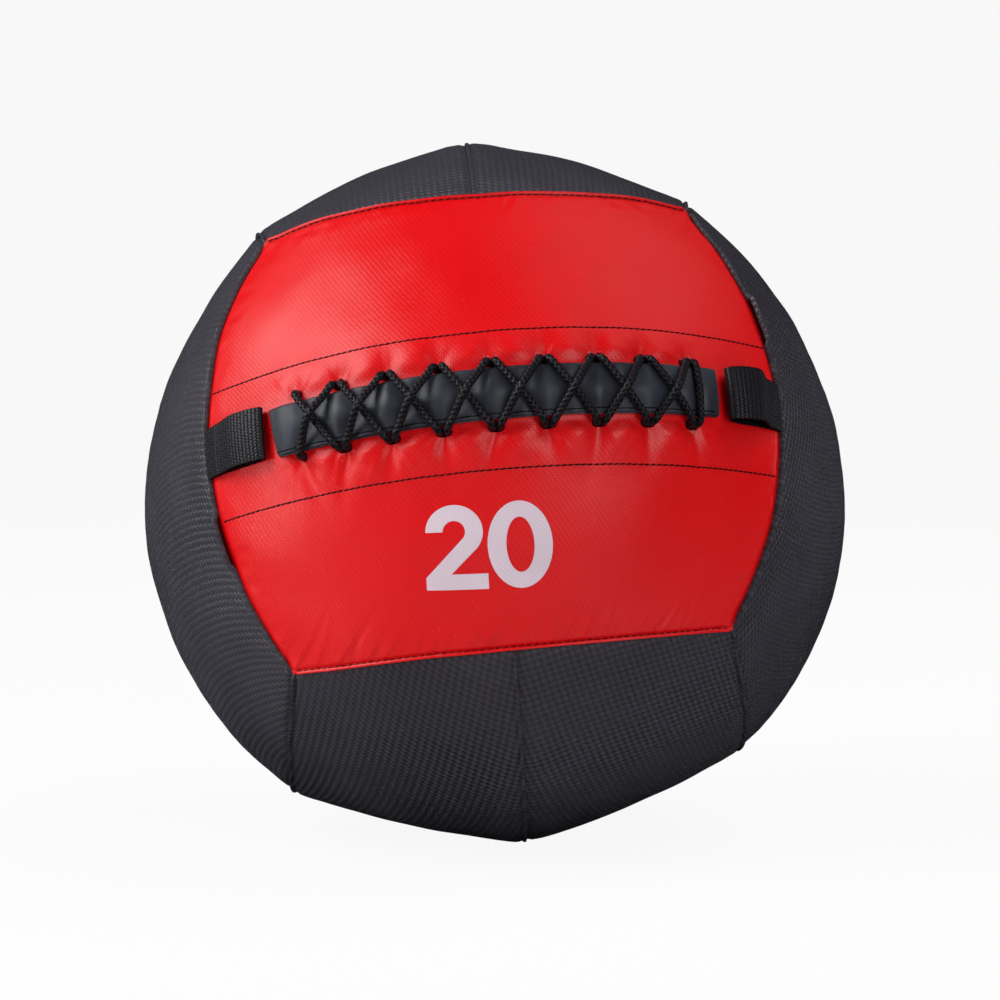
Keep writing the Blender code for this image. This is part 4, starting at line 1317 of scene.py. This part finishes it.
class WALLBALL_OT_flap(BallOperator, Operator):
    """Lay the folded flap under the lace, puffed up between its strands."""

    bl_idname = "wallball.flap"
    bl_label = "Flap"

    def execute(self, context):
        sewing = context.scene.ball_sewing
        colours = context.scene.ball_colours
        leatherette = finish_once(grained_leatherette, "flap_leatherette", colours.flap)
        top = FLAP_GAP + FLAP_THICKNESS
        upper = self.sheet("flap", top, FLAP_HALF_WIDE, sewing.puff)
        under = self.sheet("flap_under_layer", FLAP_GAP + UNDER_LAYER_LIFT,
                           FLAP_HALF_WIDE + UNDER_LAYER_SHOWS, sewing.puff / 3)
        layers = ((upper, UPPER_LAYER_SHARE, ["closure_flap"]), (under, 1 - UPPER_LAYER_SHARE, []))
        for item, share, nodes in layers:
            thicken(item, FLAP_THICKNESS * share)
            settle_modifiers(item)
            finish_piece(item, leatherette, "ball", *nodes)
        bm = bmesh.new()
        end = FLAP_HALF_LONG - FLAP_ROW_ENDS
        along = np.linspace(-end, end, FLAP_ROW_POINTS)
        up = FLAP_ROW_INSET - FLAP_HALF_WIDE + self.tilt(along)
        row = closure_point(along, up, top + FLAP_ROW_OVER)
        add_stitches(bm, surface_tree(upper), row, sewing, FLAP_ROW_PITCH)
        thread = finish_once(cord_finish, "thread", colours.cord, THREAD_FIBRE)
        finish_piece(bmesh_object("flap_stitching", bm), thread, "ball")
        return {"FINISHED"}

    @staticmethod
    def tilt(along):
        """How far the flap lies off the seam along it."""
        return mix(*FLAP_TILT, (along / FLAP_HALF_LONG + 1) / 2)

    def sheet(self, name, top, half_wide, puff):
        """One layer of the flap, with a round fold at its top and left edges."""
        long, wide = 2 * FLAP_HALF_LONG, 2 * half_wide
        x_offset, x_share = graded_lines(FLAP_EDGE_LINES, FLAP_EDGE_LINES, long, FLAP_ALONG_CELL)
        y_offset, y_share = graded_lines(FLAP_EDGE_LINES, FLAP_EDGE_LINES, wide, FLAP_ACROSS_CELL)
        x, y = np.broadcast_arrays((x_offset + x_share * long)[:, None], (y_offset + y_share * wide)[None])
        along, up = x - FLAP_HALF_LONG, y - half_wide
        placed = along + near(x, FLAP_SLANT_REACH) * (half_wide - up) / wide * FLAP_SLANT
        level = up + self.tilt(along)
        middle = mix(PUFF_SHARE_BESIDE, 1, near(level, PUFF_REACH))
        ends = mix(PUFF_SHARE_AT_END, 1, smooth(np.minimum(x, long - x) / PUFF_END_REACH))
        swell = puff * clear_of_strands(placed, level, STRAND_REACH) * middle * ends
        fold = FLAP_FOLD * (2 - rounded(wide - y, FLAP_FOLD) - rounded(x, FLAP_FOLD))
        past_hole = along - np.rint(along / HOLE_PITCH) * HOLE_PITCH
        crease = FLAP_CREASE * near(past_hole - level / FLAP_CREASE_SLOPE, FLAP_CREASE_WIDTH)
        ripple = np.sin(along / RIPPLE_ALONG) * np.sin(level / RIPPLE_ACROSS + along / RIPPLE_DRIFT)
        lift = top + swell - fold + RIPPLE * ripple + crease + crease_fill(placed, level)
        mesh = sheet_mesh(name, closure_point(placed, level, lift), np.stack((x, y), axis=-1))
        return new_object(name, mesh)


# The lace: rounds of smoothing of its route, and the lift below which its points are thinned out
ROUTE_SMOOTHINGS = 3
INSIDE_LIFT = -3 * MM

# Frayed holes: column, row (1 is the upper one) and number of loose fibres
FRAYED = ((2, 1, 5), (5, 1, 10), (6, 1, 12), (7, 1, 8), (9, 1, 7), (9, -1, 14))
FIBRE_RADIUS = 0.09 * MM
FRAYED_COLOUR = (0.62, 0.42, 0.42)
FRAYED_PAST_ROW = 2.4 * MM


class WALLBALL_OT_lace(BallOperator, Operator):
    """Thread the braided lace through its eighteen holes."""

    bl_idname = "wallball.lace"
    bl_label = "Lace"

    def execute(self, context):
        route = lace_route()
        places = closure_point(*route.T)
        rough = arc_lengths(places)
        even = np.arange(0, rough[-1], OUTSIDE_STEP)
        fine = along_points(places, rough, even)
        for _ in range(ROUTE_SMOOTHINGS):
            fine[1:-1] = (fine[:-2] + 2 * fine[1:-1] + fine[2:]) / 4
        lift = np.interp(even, rough, route[:, 2])
        every = round(INSIDE_STEP / OUTSIDE_STEP)
        kept = (lift > INSIDE_LIFT) | (np.arange(len(even)) % every == 0)
        kept[[0, -1]] = True
        points, lengths = fine[kept], arc_lengths(fine)[kept]
        rings, relief = cord_places(points, lengths)
        turns = np.linspace(0, tau * BRAID_CORE, CORD_SIDES + 1)
        cloth = np.stack(np.broadcast_arrays(lengths[:, None], turns[None]), axis=-1)
        mesh = sheet_mesh("braided_lace", rings, cloth, relief)
        weld(mesh)
        item = new_object("braided_lace", mesh)
        cord = finish_once(cord_finish, "lace_cord", context.scene.ball_colours.cord, LACE_FIBRE)
        finish_piece(item, cord, "ball", "lace", crease_deg=180)
        lint = finish_once(fibre_finish, "frayed_fibres", FRAYED_COLOUR, LINT_FIBRE)
        finish_piece(self.frayed_fibres(), lint, "ball")
        return {"FINISHED"}

    @staticmethod
    def frayed_fibres():
        """Loose fibres of the backing at the edges of some holes."""
        bm = bmesh.new()
        random = np.random.default_rng(23)
        for column, row, count in FRAYED:
            tree = surface_tree(bpy.data.objects["panel_front_" + ("upper" if row > 0 else "lower")])
            edge = closure_frame(column_along(column), row * (HOLE_ROW_UP + FRAYED_PAST_ROW))
            for _ in range(count):
                aside, ahead = random.uniform((-3.4, -0.6), (3.4, 0.9)) * MM
                place, out, _, _ = tree.find_nearest(edge @ Vector((aside, row * ahead, 0)))
                heading = Vector((random.uniform(-1, 1), row * random.uniform(0, 0.8), 0))
                way = (edge.to_3x3() @ heading).normalized()
                way = (way + out * random.uniform(0.1, 0.9)).normalized()
                half = random.uniform(0.4, 0.9) * MM
                width = out.cross(way).normalized()
                half_axes = (width * FIBRE_RADIUS, way.cross(width) * FIBRE_RADIUS, way * half)
                add_bead(bm, half_axes, place + way * half, segments=5, rings=4)
        return bmesh_object("frayed_fibres", bm)


# The webbing: its cells, ribs, knots and selvedge, and its root, tucked in and pinched under a side fold
WEB_STEP = 0.42 * MM
WEB_RIB, WEB_KNOT, WEB_RELIEF = 2.1 * MM, 1.5 * MM, 0.5 * MM
WEB_KNOT_HALF_LONG, WEB_KNOT_HALF_WIDE = 0.55, 0.6
WEB_FLAT, WEB_SELVEDGE, WEB_SELVEDGE_SHARE = 0.6, 1.2 * MM, 0.4
WEB_TUCK = 2.2 * MM
WEB_PINCH, WEB_SINK, WEB_PINCH_REACH = 0.45, 1.1 * MM, 9 * MM
LOOP_ARC_POINTS = 40


def web_relief(along, across):
    """Relief of woven webbing: rows of small knots, set over in turn."""
    row = np.rint(along / WEB_RIB)
    place = across / WEB_KNOT + row / 2
    ahead, aside = along / WEB_RIB - row, place - np.rint(place)
    knot = 1 - (ahead / WEB_KNOT_HALF_LONG) ** 2 - (aside / WEB_KNOT_HALF_WIDE) ** 2
    selvedge = smooth((WEBBING_WIDTH / 2 - np.abs(across)) / WEB_SELVEDGE)
    return mix(WEB_FLAT, np.sqrt(np.clip(knot, 0, 1)), mix(WEB_SELVEDGE_SHARE, 1, selvedge))


class WALLBALL_OT_webbing_loops(BallOperator, Operator):
    """Weave the two loops of webbing and tuck them in under the side folds."""

    bl_idname = "wallball.webbing_loops"
    bl_label = "Webbing loops"

    def execute(self, context):
        webbing = finish_once(cord_finish, "webbing", context.scene.ball_colours.cord, WEBBING_FIBRE)
        cells = round(WEBBING_WIDTH / WEB_STEP)
        across = np.linspace(-WEBBING_WIDTH / 2, WEBBING_WIDTH / 2, cells + 1)[None]
        for title, (side, length, opening) in LOOPS.items():
            points = self.centreline(length, opening)
            lengths = arc_lengths(points)
            even = np.linspace(0, lengths[-1], round(lengths[-1] / WEB_STEP) + 1)
            path = along_points(points, lengths, even)
            ahead = unit(np.gradient(path, axis=0))
            outward = np.stack((ahead[:, 1], -ahead[:, 0]), axis=1)
            relief = web_relief(even[:, None], across)
            raised = path[:, None] + outward[:, None] * relief[..., None] * WEB_RELIEF
            inward, height = np.moveaxis(raised, -1, 0)
            along = side * (SEAM_HALF_LONG - inward)
            up = np.broadcast_to(across * side, along.shape)
            places = closure_point(along, up, height + crease_fill(along, up))
            cloth = np.stack(np.broadcast_arrays(even[:, None], across), axis=-1)
            item = new_object("loop_" + title, sheet_mesh("loop_" + title, places, cloth, relief))
            thicken(item, WEBBING_THICKNESS - WEB_RELIEF, offset=0.0)
            settle_modifiers(item)
            finish_piece(item, webbing, title + "_loop", "webbing_loop_" + title)
        return {"FINISHED"}

    @staticmethod
    def centreline(length, opening):
        """Middle of the webbing from its lower root round the fold to its upper root."""
        thick = WEBBING_THICKNESS
        fold = (length - thick) * LOOP_FOLD_SHARE
        reach = length - thick - fold
        low = FIT_GAP + thick / 2
        shares = np.linspace(0, 1, LOOP_ARC_POINTS)
        floor = np.stack((mix(-WEB_TUCK, reach, shares), low + 0 * shares), axis=1)
        angles = pi * shares - pi / 2
        middle = low + (thick + opening) / 2
        arc = np.stack((reach + (fold + thick / 2) * np.cos(angles),
                        middle + (opening + thick) / 2 * np.sin(angles)), axis=1)
        back = shares[::-1]
        upper = low + thick + opening * smooth(back)
        roof = np.stack((mix(LOOP_STITCHED_LENGTH, reach, back), upper), axis=1)
        root = np.array(((-WEB_TUCK, low + thick),))
        line = np.concatenate((floor, arc[1:], roof[1:], root))
        pinched = 1 - smooth((line[:, 0] + WEB_TUCK) / WEB_PINCH_REACH)
        line[:, 1] = mix(line[:, 1], WEB_PINCH * line[:, 1] - WEB_SINK, pinched)
        return line


# The printed number: each figure is a ribbon between two edges, in millimetres about the number's middle
FIGURE_AZIMUTH, FIGURE_ELEVATION, FIGURE_TILT = radians(-2.85), radians(-23), radians(-2.6)
FIGURE_LIFT = 0.12 * MM
NOUGHT_AT, NOUGHT_OUTER, NOUGHT_INNER = (15.0, 0.0), (15.6, 21.0), (6.7, 13.3)
TWO_AT, TWO_OUTER, TWO_INNER = (-16.4, 7.5), (13.9, 12.9), (5.4, 5.2)
TWO_TURN = radians(-38)
TWO_LEFT_EDGE = ((-31, -14.5), (-31, -20.5), (-1, -20.5))
TWO_RIGHT_EDGE = ((-18.6, -13.0), (-18.6, -13.0), (-1, -13.0))
STROKE_STEPS, STRAIGHT_STEPS = 10, 14
WHOLE_POINTS, TURN_POINTS = 97, 49


def oval(centre, radii, angles):
    """Points of an oval."""
    return np.stack((centre[0] + radii[0] * np.cos(angles), centre[1] + radii[1] * np.sin(angles)), axis=1)


def run_on(points, corners):
    """A row of points carried on straight through corners."""
    shares = np.arange(1, STRAIGHT_STEPS + 1)[:, None] / STRAIGHT_STEPS
    for corner in corners:
        points = np.concatenate((points, mix(points[-1], np.array(corner), shares)))
    return points


class WALLBALL_OT_figure(BallOperator, Operator):
    """Print the plain number low on the front."""

    bl_idname = "wallball.figure"
    bl_label = "Printed number"

    def execute(self, context):
        ink = finish_once(printed_ink, "figure_ink", context.scene.ball_colours.figure)
        tree = surface_tree(bpy.data.objects["panel_front_lower"])
        centre = Vector(BALL_CENTRE)
        whole = np.linspace(0, tau, WHOLE_POINTS)
        turn = np.linspace(pi, TWO_TURN, TURN_POINTS)
        figures = {
            "figure_nought": (oval(NOUGHT_AT, NOUGHT_OUTER, whole), oval(NOUGHT_AT, NOUGHT_INNER, whole)),
            "figure_two": (run_on(oval(TWO_AT, TWO_OUTER, turn), TWO_RIGHT_EDGE),
                           run_on(oval(TWO_AT, TWO_INNER, turn), TWO_LEFT_EDGE)),
        }
        for name, (outer, inner) in figures.items():
            shares = np.linspace(0, 1, STROKE_STEPS + 1)[None, :, None]
            flat = mix(outer[:, None], inner[:, None], shares) * MM
            mesh = sheet_mesh(name, self.printed(tree, flat), flat + PANEL_LENGTH)
            weld(mesh)
            bm = bmesh.new()
            bm.from_mesh(mesh)
            bmesh.ops.dissolve_degenerate(bm, dist=WELD_DISTANCE, edges=bm.edges[:])
            if sum(face.normal.dot(face.calc_center_median() - centre) for face in bm.faces) < 0:
                bmesh.ops.reverse_faces(bm, faces=bm.faces[:])
            bm.to_mesh(mesh)
            bm.free()
            item = new_object(name, mesh)
            thicken(item, FIGURE_LIFT / 2)
            settle_modifiers(item)
            finish_piece(item, ink, "ball")
        return {"FINISHED"}

    @staticmethod
    def printed(tree, flat):
        """Where flat places of the figure land on the panel."""
        azimuth, elevation, tilt = FIGURE_AZIMUTH, FIGURE_ELEVATION, FIGURE_TILT
        out = np.array((sin(azimuth) * cos(elevation), -cos(azimuth) * cos(elevation), sin(elevation)))
        right = np.array((cos(azimuth), sin(azimuth), 0))
        turned = flat @ np.array(((cos(tilt), -sin(tilt)), (sin(tilt), cos(tilt)))).T
        aim = out * BALL_RADIUS + right * turned[..., :1] + np.cross(out, right) * turned[..., 1:]
        ways = unit(aim) @ POSE.T
        places = np.empty_like(ways)
        for index in np.ndindex(ways.shape[:-1]):
            start = BALL_CENTRE + ways[index] * BALL_RADIUS * 1.2
            place, _, _, _ = tree.ray_cast(Vector(start), Vector(-ways[index]))
            places[index] = np.array(place) + ways[index] * FIGURE_LIFT
        return places


# Inner pieces: material slot, colour, size of its fibres, cuts in each edge and depth of the roughened
# skin, then the nodes made of it
INNER = (
    ("facing_canvas", (0.085, 0.085, 0.09), 0.9 * MM, 2, 0.15 * MM,
     "eyelet_facing_upper", "eyelet_facing_lower"),
    ("lace_cord", (0.012, 0.012, 0.013), 0.6 * MM, 2, 0.5 * MM, "lace_knot_upper", "lace_knot_lower"),
    ("liner_cotton", (0.52, 0.49, 0.42), 0.8 * MM, 1, 0.25 * MM, "liner_bag"),
    ("textile_fill", (0.30, 0.29, 0.28), 4 * MM, 1, 0.3 * MM, "stuffing_upper", "stuffing_lower"),
    ("ballast_canvas", (0.22, 0.21, 0.17), 1.0 * MM, 2, 0.5 * MM, "ballast_bag"),
    ("ballast_shot", (0.14, 0.13, 0.12), 1.6 * MM, 2, 0.4 * MM, "ballast_fill"),
)
INNER_SEED = 100


class WALLBALL_OT_inner_parts(BallOperator, Operator):
    """Give the facings, knots, liner, filling and ballast their soft, uneven skins."""

    bl_idname = "wallball.inner_parts"
    bl_label = "Inner parts"

    def execute(self, context):
        seed = INNER_SEED
        for slot, colour, fibre, cuts, depth, *nodes in INNER:
            finish = finish_once(fibre_finish, slot, colour, fibre)
            for node in nodes:
                item = self.softened(node, cuts, depth, np.random.default_rng(seed))
                finish_piece(item, finish, "ball", node, crease_deg=40)
                seed += 1
        return {"FINISHED"}

    @staticmethod
    def softened(node, cuts, depth, random):
        """A piece with the shape of a node, cut finer and roughened inward."""
        bm = bmesh.new()
        bm.from_mesh(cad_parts[node].data)
        bmesh.ops.remove_doubles(bm, verts=bm.verts[:], dist=2 * WELD_DISTANCE)
        bmesh.ops.subdivide_edges(bm, edges=bm.edges[:], cuts=cuts, use_grid_fill=True)
        bm.normal_update()
        for vert, share in zip(bm.verts, random.uniform(0, 1, len(bm.verts))):
            vert.co -= vert.normal * depth * share
        return bmesh_object("soft_" + node, bm)


# Lamps: place from the middle of the ball, size, power in watts, and whether it shows in gloss
LAMPS = {
    "key_lamp": ((-1.69, -0.55, 1.29), 1.7, 42, True),
    "front_lamp": ((1.1, -1.95, 0.75), 1.2, 14, True),
    "low_lamp": ((-1.9, -0.8, 0.0), 0.4, 5, True),
    "right_lamp": ((1.1, 0.1, 1.9), 2.0, 29, False),
    "left_rim_lamp": ((-1.9, 0.9, 0.2), 0.7, 1.2, True),
    "right_rim_lamp": ((1.9, 0.9, 0.2), 0.7, 1.6, True),
}
SENSOR_WIDTH, CAMERA_SHIFT = 36, (0.0051, -0.00645)
FLOOR_HALF, BACKDROP_HEIGHT, BACKDROP_BEND = 4, 3.5, 1.2
SKY_COLOUR, SKY_STRENGTH = (0.93, 0.95, 1.0, 1), 0.06


class WALLBALL_OT_studio(BallOperator, Operator):
    """Set up the pale floor, the soft lights and the camera."""

    bl_idname = "wallball.studio"
    bl_label = "Studio"

    def execute(self, context):
        studio = context.scene.ball_studio
        self.floor()
        self.world(context.scene)
        centre = Vector(BALL_CENTRE)
        for name, (place, size, power, in_gloss) in LAMPS.items():
            lamp = bpy.data.lights.new(name, "AREA")
            lamp.shape = "DISK"
            lamp.size = size
            lamp.energy = power * studio.light
            item = new_object(name, lamp)
            item.location = centre + Vector(place)
            item.rotation_euler = (-Vector(place)).to_track_quat("-Z", "Y").to_euler()
            item.visible_glossy = in_gloss
        camera = bpy.data.cameras.new("camera")
        camera.sensor_width = SENSOR_WIDTH
        camera.lens = studio.lens
        camera.shift_x, camera.shift_y = CAMERA_SHIFT
        view = new_object("camera", camera)
        ahead = Vector((0, cos(studio.elevation), -sin(studio.elevation)))
        view.location = centre - ahead * studio.distance
        view.rotation_euler = (pi / 2 - studio.elevation, 0, 0)
        context.scene.camera = view
        context.scene.view_settings.view_transform = "Standard"
        return {"FINISHED"}

    @staticmethod
    def floor():
        """A pale floor that rises into a backdrop."""
        def at_back(edge):
            return all(vert.co.y > 0.97 * FLOOR_HALF and vert.co.z < 0.1 for vert in edge.verts)

        bm = bmesh.new()
        bmesh.ops.create_grid(bm, x_segments=1, y_segments=1, size=FLOOR_HALF)
        risen = bmesh.ops.extrude_edge_only(bm, edges=[edge for edge in bm.edges if at_back(edge)])
        top = [part for part in risen["geom"] if isinstance(part, bmesh.types.BMVert)]
        bmesh.ops.translate(bm, vec=(0, 0, BACKDROP_HEIGHT), verts=top)
        bmesh.ops.bevel(bm, geom=[edge for edge in bm.edges if at_back(edge)], offset=BACKDROP_BEND,
                        segments=12, profile=0.5, affect="EDGES", material=-1)
        item = bmesh_object("floor", bm)
        item.data.shade_smooth()
        item.data.materials.append(finish_once(floor_finish, "pale_floor"))
        item.visible_glossy = False

    @staticmethod
    def world(scene):
        """Even grey light, with white behind the ball."""
        world = bpy.data.worlds.new("soft_studio")
        world.use_nodes = True
        nodes = Nodes(world.node_tree)
        dim = world.node_tree.nodes["Background"]
        dim.inputs["Color"].default_value = SKY_COLOUR
        dim.inputs["Strength"].default_value = SKY_STRENGTH
        white = nodes.add("Background", (1, 1, 1, 1), 1.0)
        rays = nodes.add("LightPath")
        blend = nodes.add("MixShader", rays.outputs["Is Camera Ray"], dim.outputs[0], white.outputs[0])
        nodes.feed(world.node_tree.nodes["World Output"].inputs["Surface"], blend.outputs[0])
        scene.world = world
        world.cycles_visibility.glossy = False


class WALLBALL_PT_sidebar(Panel):
    """Lists the ball's settings and the operators that make its pieces."""

    bl_label = "Wall Ball"
    bl_space_type = "VIEW_3D"
    bl_region_type = "UI"
    bl_category = "Wall Ball"

    def draw(self, context):
        layout = self.layout
        for title in SETTINGS:
            group = getattr(context.scene, title)
            for field in group.bl_rna.properties:
                if not field.is_readonly and field.identifier != "name":
                    layout.prop(group, field.identifier)
        for operator in OPERATORS:
            layout.operator(operator.bl_idname)


OPERATORS = (
    WALLBALL_OT_cover,
    WALLBALL_OT_topstitching,
    WALLBALL_OT_flap,
    WALLBALL_OT_lace,
    WALLBALL_OT_webbing_loops,
    WALLBALL_OT_figure,
    WALLBALL_OT_inner_parts,
    WALLBALL_OT_studio,
)
SETTINGS = {"ball_sewing": BallSewing, "ball_colours": BallColours, "ball_studio": BallStudio}
CLASSES = (*SETTINGS.values(), *OPERATORS, WALLBALL_PT_sidebar)


def register():
    """Add the classes and their settings."""
    for kind in CLASSES:
        bpy.utils.register_class(kind)
    for title, group in SETTINGS.items():
        setattr(bpy.types.Scene, title, PointerProperty(type=group))


def unregister():
    """Remove the classes and their settings."""
    for title in SETTINGS:
        delattr(bpy.types.Scene, title)
    for kind in reversed(CLASSES):
        bpy.utils.unregister_class(kind)


def main():
    """Dress the ball."""
    register()
    bpy.ops.wallball.cover()
    bpy.ops.wallball.topstitching()
    bpy.ops.wallball.flap()
    bpy.ops.wallball.lace()
    bpy.ops.wallball.webbing_loops()
    bpy.ops.wallball.figure()
    bpy.ops.wallball.inner_parts()
    bpy.ops.wallball.studio()


if __name__ == "__main__":
    main()
